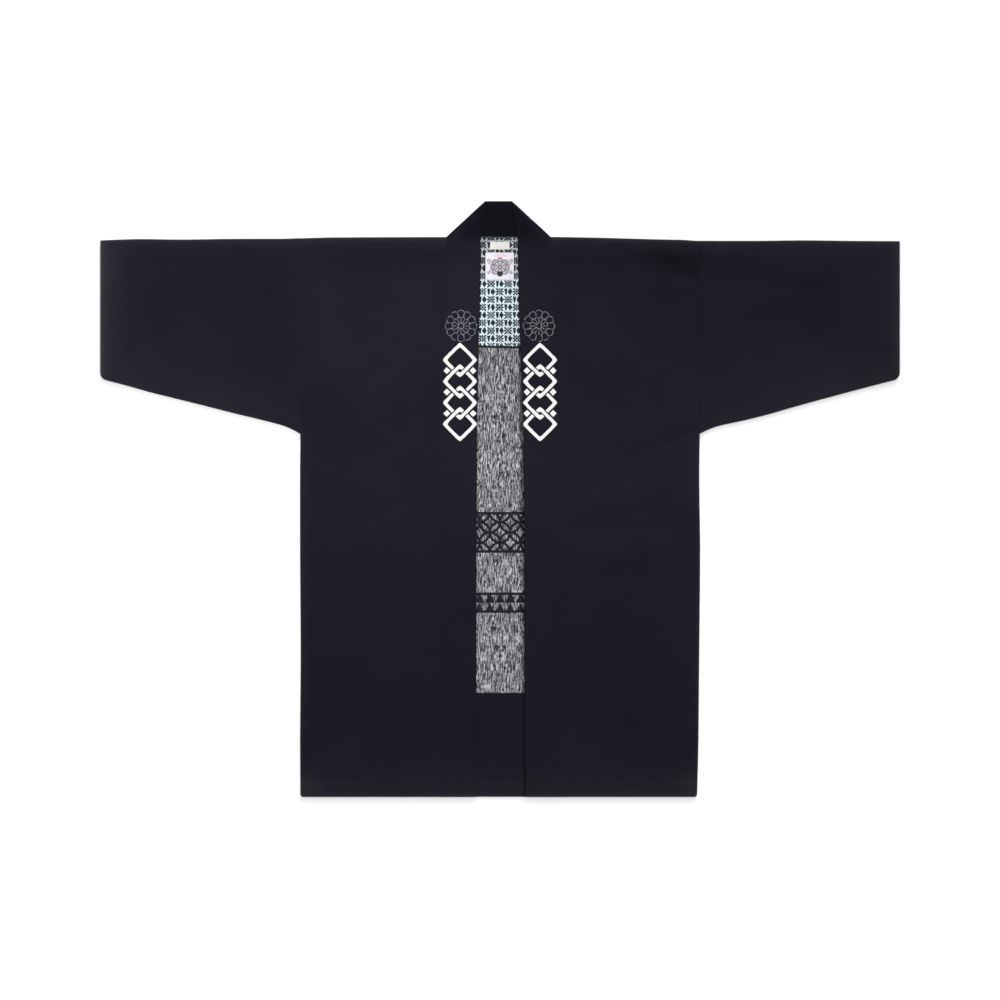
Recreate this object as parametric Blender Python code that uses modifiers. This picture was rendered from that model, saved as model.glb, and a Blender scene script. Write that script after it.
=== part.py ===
"""A happi coat laid flat on a surface, face up: the short straight coat that is worn at festivals.

It lies on the plane z = 0, with its hem towards -Y, its collar towards +Y and its sleeves along X.
Left and right are as it lies, seen from above: left is -X. The origin is the middle of its outline.
Each piece of cloth that a maker would cut is one object, and pieces that are sewn together stand
SEAM apart. The fronts lie on the back, and the collar is one strip that turns over on itself at each
shoulder. Sizes are in millimetres up to lay_cloth, which writes Blender's metres."""

import math
from typing import NamedTuple

import bmesh
import bpy
import numpy as np

MM = 0.001  # one millimetre, in metres
WELD = 1e-6  # metres: the distance within which a closed ring's two ends are one

# The coat's own sizes
CLOTH = 1.2  # wall of the body and sleeves
SEAM = 0.3  # between two pieces that are sewn together, or that lie on each other
SIDE = 312.0  # from the middle to the side seam at the underarm
HEM_UP = -465.5
TOP_UP = 466.2  # upper edge of the collar behind the neck
HEM_CORNER = 4.5  # radius at the ends of the hem
HEM_DEPTH = 20.0  # of the turned hem on body and cuffs
HEM_THICK = 2.0  # the cloth is folded under twice there
HEM_STEP = 1.5  # width of the step from hem to single cloth
UNDERARM_UP = 101.5
SLEEVE_LENGTH = 312.5  # from armhole to cuff
SLEEVE_SLOPE = 0.2586  # rise of the sleeve's lower edge for each millimetre towards the cuff
UNDERARM_DIP = 5.5  # how far the lower edge curves down to meet the side seam
UNDERARM_CURVE = 32.0  # length of that curve
CUFF_CORNER = 9.0
SLEEVE_EDGE = 1.8  # outer radius of the sleeve's fold and seam
CUFF_EDGE = 2.5  # the same at the cuff, where the hem is thicker

COLLAR_WIDTH = 55.8
COLLAR_THICK = 2.4  # the strip is folded double
NECK_HALF = 80.8  # from the collar's middle behind the neck to each shoulder corner
NECK_SHIFT = -2.3  # the neck's middle lies this far along X
CREASE_RUN = 60.4  # how far inward the collar's turned edge runs as it rises to the top
TURN_RADIUS = 1.6  # of the middle of the strip, where it turns over
FAN_FROM = 300.0  # above this height the strip's sections swing round to lie along the crease
STRAIGHT_FROM = 385.0  # above this height the strip runs straight

FACING_HALF = 76.0
FACING_TOP = 409.1
FACING_LEFT_UP = 241.0  # the facing's lower edge, at each end
FACING_RIGHT_UP = 237.0
FACING_THICK = 1.0
LABEL_THICK = 1.0

LIFT = 0.9  # how far the fronts rise off the back between their sewn edges
LIFT_REACH = 26.0  # within this distance of a sewn edge they come down to the back
SLEEVE_PUFF = 1.3  # how far a sleeve's upper layer rises between its edges

PANEL_STEP = 25.0  # spacing of the sections of a front or sleeve
BACK_STEP = 44.0
COLLAR_STEP = 34.0
COLLAR_COLUMNS = 4  # across the strip
TURN_STEPS = 8  # round the collar's turned edge
EDGE_STEPS = 4  # round a sleeve's fold
FACING_STEPS = 6  # each way
CORNER_ROWS = (0.0, 0.1, 0.4, 1.0)  # shares of a hem corner's radius, up from the hem
CUFF_ROWS = (1.0, 0.55, 0.15, 0.0)  # shares of a cuff corner's radius, in from the cuff
LIFT_ROWS = (0.0, 0.3, 0.7)  # shares of LIFT_REACH, in from a sewn edge


class Hand(NamedTuple):
    """One side of the coat, and its direction along X."""

    name: str
    way: int


LEFT = Hand("left", -1)
RIGHT = Hand("right", 1)


class Reach(NamedTuple):
    """How far an edge lies from x = 0 on each side, at one height."""

    up: float
    left: float
    right: float


SIDE_EDGE = (
    Reach(-465.5, 311.9, 307.9),
    Reach(-390.0, 312.5, 310.0),
    Reach(-235.0, 311.6, 311.5),
    Reach(-80.0, 312.5, 312.8),
    Reach(40.0, 312.6, 311.5),
    Reach(101.5, SIDE, SIDE),
    Reach(410.0, SIDE, SIDE),
)
COLLAR_EDGE = (  # the edge that faces the opening, below STRAIGHT_FROM, of a strip of even width
    Reach(-465.5, 37.5, 39.0),
    Reach(-95.0, 36.7, 38.3),
    Reach(60.0, 36.0, 37.5),
    Reach(236.0, 34.4, 32.8),
    Reach(330.0, 33.2, 30.0),
)
NECK_STRETCH = (  # how far that edge is drawn outward near the neck
    Reach(120.0, 0.0, 0.0),
    Reach(236.0, -0.8, -1.1),
    Reach(311.0, -2.4, -1.6),
    Reach(373.0, -0.5, 2.0),
    Reach(409.5, 2.8, 4.7),
    Reach(TOP_UP, 0.0, 0.0),
)


class TopEdge(NamedTuple):
    """The height of the shoulder and sleeve fold, at one place along X."""

    along: float
    up: float


TOP_EDGE = (
    TopEdge(-624.0, 404.4),
    TopEdge(-560.0, 406.5),
    TopEdge(-500.0, 405.8),
    TopEdge(-420.0, 406.8),
    TopEdge(-343.0, 407.0),
    TopEdge(-312.0, 407.9),
    TopEdge(-250.0, 409.2),
    TopEdge(-86.0, 409.7),
    TopEdge(81.0, 409.8),
    TopEdge(156.0, 408.6),
    TopEdge(250.0, 406.0),
    TopEdge(285.0, 405.3),
    TopEdge(312.0, 403.8),
    TopEdge(400.0, 403.7),
    TopEdge(468.0, 404.5),
    TopEdge(560.0, 403.6),
    TopEdge(624.0, 403.2),
)


class UnderarmBow(NamedTuple):
    """How far a sleeve's lower edge strays upward from its straight run, out from the armhole."""

    out: float
    left: float
    right: float


UNDERARM_BOW = (
    UnderarmBow(0.0, 0.0, 0.0),
    UnderarmBow(38.0, 1.0, -0.8),
    UnderarmBow(72.0, 0.8, -2.3),
    UnderarmBow(105.0, 0.1, -2.6),
    UnderarmBow(142.0, 0.0, -1.5),
    UnderarmBow(198.0, -0.5, -0.5),
    UnderarmBow(232.0, -0.9, -0.2),
    UnderarmBow(270.0, 0.0, 0.0),
)


class CollarRise(NamedTuple):
    """The height of the middle of the collar's thickness, down its front run."""

    up: float
    middle: float


COLLAR_RISE = (
    CollarRise(-465.5, 3.5),
    CollarRise(-425.0, 3.5),
    CollarRise(-340.0, 3.0),
    CollarRise(150.0, 3.0),
    CollarRise(215.0, 4.0),
    CollarRise(345.0, 4.1),
    CollarRise(STRAIGHT_FROM, 4.4),
)


class Crease(NamedTuple):
    """A soft ridge, or a trough where rise is below zero, from one place to another."""

    x0: float
    y0: float
    x1: float
    y1: float
    width: float
    rise: float


CREASES = {
    "front_left": (
        Crease(-300.0, 52.0, -205.0, 18.0, 24.0, 1.7),
        Crease(-285.0, 335.0, -200.0, 352.0, 34.0, 1.3),
        Crease(-172.0, 392.0, -102.0, 386.0, 11.0, -0.8),
        Crease(-255.0, -120.0, -205.0, -330.0, 38.0, 1.4),
        Crease(-150.0, 60.0, -135.0, -90.0, 30.0, 1.0),
    ),
    "front_right": (
        Crease(205.0, 92.0, 300.0, 132.0, 19.0, 2.0),
        Crease(232.0, 52.0, 300.0, 84.0, 17.0, 1.6),
        Crease(238.0, 372.0, 308.0, 364.0, 16.0, -0.8),
        Crease(205.0, 338.0, 306.0, 322.0, 26.0, 1.7),
        Crease(118.0, -12.0, 262.0, 22.0, 20.0, 1.6),
        Crease(136.0, -74.0, 232.0, -66.0, 22.0, 2.0),
        Crease(232.0, -140.0, 182.0, -330.0, 36.0, 1.2),
    ),
    "sleeve_left": (
        Crease(-600.0, 330.0, -440.0, 352.0, 30.0, 0.8),
        Crease(-470.0, 232.0, -340.0, 205.0, 28.0, 0.9),
    ),
    "sleeve_right": (
        Crease(330.0, 372.0, 590.0, 330.0, 15.0, -1.0),
        Crease(345.0, 300.0, 470.0, 322.0, 26.0, 0.8),
        Crease(350.0, 165.0, 480.0, 215.0, 24.0, 0.8),
    ),
}


class Label(NamedTuple):
    """A label's place on the facing."""

    name: str
    x0: float
    x1: float
    y0: float
    y1: float


LABELS = (
    Label("label_small", -15.2, 15.0, 390.2, 402.0),
    Label("label_large", -22.7, 21.7, 342.8, 385.3),
)


class Finish(NamedTuple):
    """A piece's colour, in linear red, green and blue, and how rough it is."""

    red: float
    green: float
    blue: float
    roughness: float


NAVY_COTTON = Finish(0.016, 0.016, 0.022, 0.85)
NAVY_COLLAR = Finish(0.014, 0.014, 0.020, 0.80)
PRINTED_FACING = Finish(0.45, 0.60, 0.66, 0.80)
CREAM_LABEL = Finish(0.72, 0.66, 0.52, 0.70)
WHITE_LABEL = Finish(0.80, 0.79, 0.82, 0.65)

# What follows from the sizes
LAYER_UP = CLOTH + SEAM  # underside of what lies straight on the back
LABEL_UP = LAYER_UP + FACING_THICK + SEAM
NECK_CORNER_UP = TOP_UP - COLLAR_WIDTH
CREASE_ANGLE = math.atan2(COLLAR_WIDTH, CREASE_RUN)
LEAN = math.pi / 2 - 2 * CREASE_ANGLE  # the front run leans inward so that the back run lies level
TURN_START = -(TURN_RADIUS + COLLAR_THICK / 2)  # from the crease, square to it
TURN_LENGTH = math.pi * TURN_RADIUS
TURN_LOSS = 2 * TURN_START + TURN_LENGTH  # how far the turn draws the back run in
COLLAR_LOW = COLLAR_THICK / 2  # middle of the strip behind the neck, which lies on the surface
UNDERARM_LINE = UNDERARM_UP + UNDERARM_DIP  # where the sleeve's straight lower edge would start


def mix(a, b, share):
    return a + (b - a) * share


def ease(share):
    """0 to 1 with no jolt at either end."""
    share = min(max(share, 0.0), 1.0)
    return share * share * (3 - 2 * share)


def on_curve(table, place, column):
    """The column's value at a place between the table's rows, on a smooth curve that never overshoots."""
    places = [row[0] for row in table]
    values = [getattr(row, column) for row in table]
    rises = np.diff(values) / np.diff(places)
    slopes = [rises[0]]
    slopes += [2 * a * b / (a + b) if a * b > 0 else 0.0 for a, b in zip(rises, rises[1:])]
    slopes += [rises[-1]]
    place = min(max(place, places[0]), places[-1])
    row = min(int(np.searchsorted(places, place, side="right")) - 1, len(places) - 2)
    span = places[row + 1] - places[row]
    t = (place - places[row]) / span
    return (
        values[row] * (1 + 2 * t) * (1 - t) ** 2
        + slopes[row] * span * t * (1 - t) ** 2
        + values[row + 1] * t * t * (3 - 2 * t)
        + slopes[row + 1] * span * t * t * (t - 1)
    )


def steps(start, end, spacing):
    """Evenly spaced values from start to end, about spacing apart."""
    count = max(1, round(abs(end - start) / spacing))
    return [mix(start, end, i / count) for i in range(count + 1)]


def creased(name, x, y):
    """How far a piece's creases lift it at a point."""
    lift = 0.0
    for crease in CREASES[name]:
        run = np.array([crease.x1 - crease.x0, crease.y1 - crease.y0])
        out = np.array([x - crease.x0, y - crease.y0])
        share = min(max(float(out @ run) / float(run @ run), 0.0), 1.0)
        off = float(np.linalg.norm(out - share * run)) / crease.width
        lift += crease.rise * math.exp(-off * off)
    return lift


def finish_material(name, finish):
    material = bpy.data.materials.new(name)
    material.use_nodes = True
    shader = material.node_tree.nodes["Principled BSDF"]
    shader.inputs["Base Color"].default_value = (finish.red, finish.green, finish.blue, 1.0)
    shader.inputs["Roughness"].default_value = finish.roughness
    shader.inputs["Metallic"].default_value = 0.0
    return material


def in_hem(y):
    return y < HEM_UP + HEM_DEPTH + HEM_STEP / 2


def lay_cloth(name, finish, across, along, place, thick=0.0, grow=1.0, hemmed=False):
    """A grid of cloth with a column for each value of across and a row for each of along.

    place turns the two values into a point. The grid gets a wall of the given thickness on its upper
    side, or half on each side where grow is 0, and a thicker one along a turned hem. A tube needs
    none, because its grid runs up its outer wall and back down its inner one, and closes on itself
    both ways."""
    grid = bmesh.new()
    bmesh.ops.create_grid(grid, x_segments=len(across) - 1, y_segments=len(along) - 1, size=0.5)
    for vert in grid.verts:
        column = round((vert.co.x + 0.5) * (len(across) - 1))
        row = round((vert.co.y + 0.5) * (len(along) - 1))
        vert.co = [value * MM for value in place(across[column], along[row])]
    bmesh.ops.remove_doubles(grid, verts=grid.verts, dist=WELD)
    mesh = bpy.data.meshes.new(name)
    grid.to_mesh(mesh)
    grid.free()
    mesh.materials.append(finish_material(name, finish))
    mesh.shade_smooth()
    piece = bpy.data.objects.new(name, mesh)
    coat.objects.link(piece)
    if thick:
        wall = piece.modifiers.new("wall", "SOLIDIFY")
        wall.thickness = thick * MM
        wall.offset = grow
        if hemmed:
            hem = piece.vertex_groups.new(name="hem")
            hem.add([vert.index for vert in mesh.vertices if in_hem(vert.co.y / MM)], 1.0, "REPLACE")
            wall.thickness = HEM_THICK * MM
            wall.vertex_group = hem.name
            wall.thickness_vertex_group = thick / HEM_THICK


def side_edge(hand, up):
    """The side seam's distance from x = 0, drawn in round the corner of the hem."""
    reach = on_curve(SIDE_EDGE, up, hand.name)
    over_hem = up - HEM_UP
    if over_hem < HEM_CORNER:
        reach -= HEM_CORNER - math.sqrt(HEM_CORNER**2 - (HEM_CORNER - over_hem) ** 2)
    return reach


def neck_corner(hand):
    """The outer end of the collar's crease, from x = 0."""
    return NECK_HALF + hand.way * NECK_SHIFT


def even_edge(hand, up):
    """The distance from x = 0 to the free edge of a strip of even width, before it turns over."""
    crease_top = neck_corner(hand) - CREASE_RUN
    straight = crease_top + (TOP_UP - max(up, STRAIGHT_FROM)) * math.tan(LEAN)
    if up >= STRAIGHT_FROM:
        return straight
    start = Reach(STRAIGHT_FROM, straight, straight)
    return on_curve(COLLAR_EDGE + (start,), up, hand.name)


def collar_free(hand, up):
    """The distance from x = 0 to the collar's edge at the opening, before the strip turns over."""
    return even_edge(hand, up) + on_curve(NECK_STRETCH, up, hand.name)


def collar_seam(hand, up):
    """The distance from x = 0 to the collar's seam with the front, before the strip turns over."""
    lean = LEAN * ease((up - COLLAR_EDGE[-1].up) / (STRAIGHT_FROM - COLLAR_EDGE[-1].up))
    return even_edge(hand, up) + COLLAR_WIDTH / math.cos(lean)


def turn_over(hand, x, y, middle):
    """Lays a point of the flat strip: what lies past the crease turns under and inward.

    x is the distance from x = 0 on the hand's side. middle is the height of the upper layer."""
    normal_x, normal_y = math.sin(CREASE_ANGLE), math.cos(CREASE_ANGLE)
    past = (x - neck_corner(hand)) * normal_x + (y - NECK_CORNER_UP) * normal_y
    round_turn = past - TURN_START
    if round_turn <= 0:
        return hand.way * x, y, middle
    if round_turn < TURN_LENGTH:
        angle = round_turn / TURN_RADIUS
        laid = TURN_START + TURN_RADIUS * math.sin(angle)
        height = COLLAR_LOW + TURN_RADIUS * (1 + math.cos(angle))
    else:
        laid = TURN_START - (round_turn - TURN_LENGTH)
        height = COLLAR_LOW
    return hand.way * (x + (laid - past) * normal_x), y + (laid - past) * normal_y, height


def collar_sections(hand):
    """The strip's sections from the hem to the middle behind the neck, as pairs of heights.

    The first height is on the seam edge and the second on the free edge. The two grow apart between
    FAN_FROM and the crease, where a section lies along the crease."""
    to_turn = math.cos(LEAN) / math.sin(CREASE_ANGLE)
    turn_from = TURN_START * to_turn
    turn_to = (TURN_START + TURN_LENGTH) * to_turn
    drawn_in = TURN_LOSS * math.sin(CREASE_ANGLE)
    behind = (NECK_HALF + drawn_in) * math.cos(LEAN)
    behind_free = (NECK_HALF - CREASE_RUN + drawn_in) * math.cos(LEAN)
    keys = (
        (HEM_UP, HEM_UP),
        (FAN_FROM, FAN_FROM),
        (NECK_CORNER_UP + turn_from, TOP_UP + turn_from),
        (NECK_CORNER_UP + turn_to, TOP_UP + turn_to),
        (NECK_CORNER_UP + behind, TOP_UP + behind_free),
    )
    counts = (
        round((FAN_FROM - HEM_UP) / COLLAR_STEP),
        round((NECK_CORNER_UP - FAN_FROM) / (COLLAR_STEP / 2)),
        TURN_STEPS,
        round(NECK_HALF / COLLAR_STEP),
    )
    sections = [keys[0]]
    for (start, end), count in zip(zip(keys, keys[1:]), counts):
        for i in range(1, count + 1):
            share = i / count
            sections.append((mix(start[0], end[0], share), mix(start[1], end[1], share)))
    return [(hand, seam_up, free_up) for seam_up, free_up in sections]


def build_collar():
    """One strip, hem to hem, that turns over at each shoulder and passes behind the neck."""

    def place(share, section):
        hand, seam_up, free_up = section
        x = mix(collar_seam(hand, seam_up), collar_free(hand, free_up), share)
        y = mix(seam_up, free_up, share)
        return turn_over(hand, x, y, on_curve(COLLAR_RISE, y, "middle"))

    sections = collar_sections(LEFT) + collar_sections(RIGHT)[-2::-1]
    columns = steps(0.0, 1.0, 1 / COLLAR_COLUMNS)
    lay_cloth("collar", NAVY_COLLAR, columns, sections, place, COLLAR_THICK, grow=0.0)


def hem_rows(spacing):
    """Shares of the height from hem to shoulder: round the hem's corner, up the hem and on."""
    height = NECK_CORNER_UP - HEM_UP
    hem = [HEM_CORNER * share / height for share in CORNER_ROWS]
    hem.append(HEM_DEPTH / height)
    return hem + steps((HEM_DEPTH + HEM_STEP) / height, 1.0, spacing / height)


def build_back():
    """The back panel, whose underside is the flat face that the coat rests on."""

    def place(share, row):
        nominal = mix(HEM_UP, NECK_CORNER_UP, row)
        x = mix(-side_edge(LEFT, nominal), side_edge(RIGHT, nominal), share)
        return x, mix(HEM_UP, on_curve(TOP_EDGE, x, "up"), row), 0.0

    columns = steps(0.0, 1.0, BACK_STEP / (2 * SIDE))
    lay_cloth("back", NAVY_COTTON, columns, hem_rows(BACK_STEP), place, CLOTH, hemmed=True)


def front_lift(hand, name, x, y):
    """How far a front's underside is above the back: none where the two are sewn together."""
    from_side = side_edge(hand, max(y, HEM_UP + HEM_CORNER)) - abs(x)
    open_armhole = ease((y - UNDERARM_UP + LIFT_REACH) / LIFT_REACH)
    near_side = mix(ease(from_side / LIFT_REACH), 1.0, open_armhole)
    near_shoulder = ease((on_curve(TOP_EDGE, x, "up") - y) / LIFT_REACH)
    inside = min(near_side, near_shoulder)
    from_collar = abs(x) - collar_seam(hand, y)
    from_edges = min(from_side, from_collar, y - HEM_UP)
    return inside * (LIFT + ease(from_edges / LIFT_REACH) * max(creased(name, x, y), -LIFT))


def build_front(hand):
    """A front panel, from the side seam to the collar's seam and from the hem to the shoulder."""
    name = "front_" + hand.name

    def place(share, row):
        nominal = mix(HEM_UP, NECK_CORNER_UP, row)
        outer = side_edge(hand, nominal)
        inner = collar_seam(hand, nominal) + SEAM
        x = hand.way * mix(outer, inner, share if hand is LEFT else 1.0 - share)
        y = mix(HEM_UP, on_curve(TOP_EDGE, x, "up"), row)
        underside = LAYER_UP + front_lift(hand, name, x, y)
        return x, y, max(underside, HEM_THICK + SEAM) if in_hem(y) else underside

    width = SIDE - neck_corner(hand)
    edge = [share * LIFT_REACH / width for share in LIFT_ROWS]
    columns = edge + steps(LIFT_REACH / width, 1.0, PANEL_STEP / width)
    if hand is RIGHT:
        columns = [1.0 - share for share in reversed(columns)]
    height = NECK_CORNER_UP - HEM_UP
    rows = hem_rows(PANEL_STEP)[:-1]
    rows += [1.0 - share * LIFT_REACH / height for share in reversed(LIFT_ROWS)]
    lay_cloth(name, NAVY_COTTON, columns, rows, place, CLOTH, hemmed=True)


def sleeve_low(hand, out):
    """The height of a sleeve's lower edge, at a distance out from the armhole."""
    dip = UNDERARM_DIP * max(0.0, 1.0 - out / UNDERARM_CURVE) ** 2
    into_corner = max(0.0, out - (SLEEVE_LENGTH - CUFF_CORNER))
    corner = CUFF_CORNER - math.sqrt(CUFF_CORNER**2 - into_corner**2)
    bow = on_curve(UNDERARM_BOW, out, hand.name)
    return UNDERARM_LINE + SLEEVE_SLOPE * out - dip + corner + bow


def build_sleeve(hand):
    """A tube of one piece, flattened: folded along its top and seamed along its lower edge."""
    name = "sleeve_" + hand.name
    cuff_from = SLEEVE_LENGTH - HEM_DEPTH

    def place(turn, section):
        out, inset = section
        x = hand.way * (SIDE + SEAM + out)
        edge = mix(SLEEVE_EDGE, CUFF_EDGE, ease((out - cuff_from + LIFT_REACH) / LIFT_REACH))
        low = sleeve_low(hand, out) + edge
        high = on_curve(TOP_EDGE, x, "up") - edge
        radius = edge - inset
        if turn <= 1:
            return x, mix(low, high, turn), inset
        if turn <= 2:
            angle = (turn - 1) * math.pi
            return x, high + radius * math.sin(angle), edge - radius * math.cos(angle)
        if turn <= 3:
            y = mix(high, low, turn - 2)
            near_edge = ease(min(high - y, y - low) / LIFT_REACH)
            near_end = ease(out / LIFT_REACH) * ease((SLEEVE_LENGTH - out) / LIFT_REACH)
            puff = near_edge * near_end * (SLEEVE_PUFF + max(creased(name, x, y), -SLEEVE_PUFF))
            return x, y, edge + radius + puff
        angle = (turn - 3) * math.pi
        return x, low - radius * math.sin(angle), edge + radius * math.cos(angle)

    layer_width = NECK_CORNER_UP - UNDERARM_UP
    from_edge = LIFT_REACH / layer_width
    layer = [0.0, from_edge / 2]
    layer += steps(from_edge, 1 - from_edge, PANEL_STEP / layer_width) + [1 - from_edge / 2, 1.0]
    bend = [i / EDGE_STEPS for i in range(1, EDGE_STEPS)]
    turns = layer + [1 + t for t in bend] + [2 + t for t in layer] + [3 + t for t in bend] + [4.0]
    outs = [0.0, LIFT_REACH / 2]
    outs += steps(LIFT_REACH, cuff_from - HEM_STEP, PANEL_STEP) + [cuff_from]
    outs += [SLEEVE_LENGTH - CUFF_CORNER * share for share in CUFF_ROWS]
    if hand is LEFT:
        outs.reverse()
    inner = [(out, HEM_THICK if out >= cuff_from else CLOTH) for out in reversed(outs)]
    walls = [(out, 0.0) for out in outs] + inner + [(outs[0], 0.0)]
    lay_cloth(name, NAVY_COTTON, turns, walls, place)


def build_facing():
    """The facing inside the back neck, which shows between the collar's edges."""

    def place(share, row):
        x = NECK_SHIFT + mix(-FACING_HALF, FACING_HALF, share)
        low = mix(FACING_LEFT_UP, FACING_RIGHT_UP, share)
        return x, mix(low, FACING_TOP, row), LAYER_UP

    shares = steps(0.0, 1.0, 1 / FACING_STEPS)
    lay_cloth("neck_facing", PRINTED_FACING, shares, shares, place, FACING_THICK)


def build_label(label, finish):
    """A woven label, sewn flat on the facing."""

    def place(share, row):
        return mix(label.x0, label.x1, share), mix(label.y0, label.y1, row), LABEL_UP

    lay_cloth(label.name, finish, [0.0, 0.5, 1.0], [0.0, 0.5, 1.0], place, LABEL_THICK)


def build_coat():
    build_back()
    for hand in (LEFT, RIGHT):
        build_front(hand)
        build_sleeve(hand)
    build_collar()
    build_facing()
    for label, finish in zip(LABELS, (CREAM_LABEL, WHITE_LABEL)):
        build_label(label, finish)


for old in list(bpy.data.objects):
    bpy.data.objects.remove(old)
coat = bpy.data.collections.new("happi_coat")
bpy.context.scene.collection.children.link(coat)
build_coat()
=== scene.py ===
"""The looks of a happi coat laid flat: its cloth, hems, seams, stitching and prints.

Lengths are in millimetres up to shell(), which writes metres. Left and right are as the coat lies,
seen from above: left is -X. Each cloth is a thin wall on the form of the solid that it stands for."""

import math
from typing import NamedTuple

import bmesh
import bpy
import numpy as np
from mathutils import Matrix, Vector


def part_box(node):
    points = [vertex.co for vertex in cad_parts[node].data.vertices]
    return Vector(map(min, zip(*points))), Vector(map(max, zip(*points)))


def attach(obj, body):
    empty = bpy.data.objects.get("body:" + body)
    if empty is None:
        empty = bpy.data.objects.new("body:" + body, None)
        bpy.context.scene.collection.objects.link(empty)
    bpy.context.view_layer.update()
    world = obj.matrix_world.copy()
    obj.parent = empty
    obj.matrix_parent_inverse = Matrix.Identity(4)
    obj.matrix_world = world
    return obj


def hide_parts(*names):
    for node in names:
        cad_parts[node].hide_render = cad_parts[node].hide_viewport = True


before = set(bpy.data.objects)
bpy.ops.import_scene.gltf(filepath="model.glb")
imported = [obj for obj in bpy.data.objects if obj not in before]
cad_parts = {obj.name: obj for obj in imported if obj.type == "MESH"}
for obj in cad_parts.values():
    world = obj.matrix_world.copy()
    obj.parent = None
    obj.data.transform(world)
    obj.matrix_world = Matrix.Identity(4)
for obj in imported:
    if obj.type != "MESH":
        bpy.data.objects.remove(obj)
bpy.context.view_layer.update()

MM = 0.001


def tenth(length):
    """A length to a tenth of a millimetre, as the solids' sizes are given."""
    return round(float(length), 1)


class Corner(NamedTuple):
    """A corner of a solid's box."""

    x: float
    y: float
    z: float


def solid_box(node):
    """The lowest and the highest corner of a solid."""
    return [Corner(*(tenth(place / MM) for place in corner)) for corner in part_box(node)]


BACK_LOW, BACK_HIGH = solid_box("back")
SLEEVE_LOW, SLEEVE_HIGH = solid_box("sleeve_right")
FACING_LOW, FACING_HIGH = solid_box("neck_facing")

# The coat's own sizes, the same as its solids have
SOLID_WALL = 1.2
WALL = 1.0  # the cloth itself; its outer face is the solid's
SEAM = 0.3
THIN = 0.04  # what is left of the cloth at the very edge of a fold
SIDE = tenth(SLEEVE_LOW.x - SEAM)
HEM_UP = BACK_LOW.y
TOP_UP = 466.2
HEM_CORNER = 4.5
HEM_DEPTH = 20.0
HEM_THICK = BACK_HIGH.z
HEM_STEP = 1.5
HEM_FADE = 7.0  # how far above the hem its step can still be seen
UNDERARM_UP = SLEEVE_LOW.y
SLEEVE_LENGTH = tenth(SLEEVE_HIGH.x - SLEEVE_LOW.x)
SLEEVE_SLOPE = 0.2586
UNDERARM_DIP = 5.5
UNDERARM_CURVE = 32.0
CUFF_CORNER = 9.0
SLEEVE_EDGE = 1.8
CUFF_EDGE = 2.5
COLLAR_WIDTH = 55.8
COLLAR_THICK = 2.4
COLLAR_WALL = 0.9
COLLAR_END = 1.2  # how far from each end the strip is squeezed flat
NECK_HALF = 80.8
NECK_SHIFT = tenth((FACING_LOW.x + FACING_HIGH.x) / 2)
NECK_OPEN = 80.0  # nearer to x = 0 the back's top edge has no seam
CREASE_RUN = 60.4
TURN_RADIUS = 1.6
FAN_FROM = 300.0
STRAIGHT_FROM = 385.0
FACING_HALF = tenth((FACING_HIGH.x - FACING_LOW.x) / 2)
FACING_TOP = FACING_HIGH.y
FACING_LEFT_UP = 241.0
FACING_RIGHT_UP = FACING_LOW.y
FACING_THICK = tenth(FACING_HIGH.z - FACING_LOW.z)
LABEL_THICK = 1.0
LABEL_SAG = 0.2  # a label's middle, below its stitched edge
LIFT = 0.9
LIFT_REACH = 26.0
FINE_REACH = 7.0  # the finer creases come so near to a seam
SLEEVE_PUFF = 1.3

LAYER_UP = SOLID_WALL + SEAM
LABEL_UP = LAYER_UP + FACING_THICK + SEAM
NECK_CORNER_UP = TOP_UP - COLLAR_WIDTH
CREASE_ANGLE = math.atan2(COLLAR_WIDTH, CREASE_RUN)
LEAN = math.pi / 2 - 2 * CREASE_ANGLE
TURN_START = -(TURN_RADIUS + COLLAR_THICK / 2)
TURN_LENGTH = math.pi * TURN_RADIUS
TURN_LOSS = 2 * TURN_START + TURN_LENGTH
COLLAR_LOW = COLLAR_THICK / 2
UNDERARM_LINE = UNDERARM_UP + UNDERARM_DIP

# The sewing
FINE = 4.5  # spacing of the meshes' rows and columns
SEAM_ROLL = 2.4  # radius round which the cloth turns into a seam
MEET_GAP = 0.1  # between an outer face and the seam's line, where two cloths meet
ALLOWANCE = 9.0  # of a seam, pressed to one side under the cloth
ALLOWANCE_RISE = 0.35  # how far it shows through
ALLOWANCE_STEP = 2.5  # how gently it ends
COLLAR_SINK = 0.1  # a front meets the collar so far below its upper face
COLLAR_BULK = 9.0  # and rises to it over about this distance
ARMHOLE_CLOSE = 0.13  # the cloth on each side reaches so far into the armhole's seam
SEAM_CLOSE = 0.05  # between a front and the collar
STITCH_PITCH = 3.2
STITCH_LENGTH = 2.4
STITCH_THICK = 0.2  # half a thread's width
HEM_STITCH = 18.0  # from the hem's edge
COLLAR_STITCH = 2.6  # from the collar's seam
FACING_STITCH = 2.2
LABEL_STITCH = 1.3
HEM_EDGE = 21.6  # the turned hem's inner edge, which presses a line into the cloth
PUCKER = 0.16  # how far a row of stitches ruffles the cloth
PUCKER_REACH = 5.5  # on each side of the row
PUCKER_PITCH = 8.5
PUCKER_STOP = 6.0  # a hem's puckers die out so near to the side seam


class Hand(NamedTuple):
    """One side of the coat, and its direction along X."""

    name: str
    way: int


LEFT = Hand("left", -1)
RIGHT = Hand("right", 1)


class Reach(NamedTuple):
    """How far an edge lies from x = 0 on each side, at one height."""

    up: float
    left: float
    right: float


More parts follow.
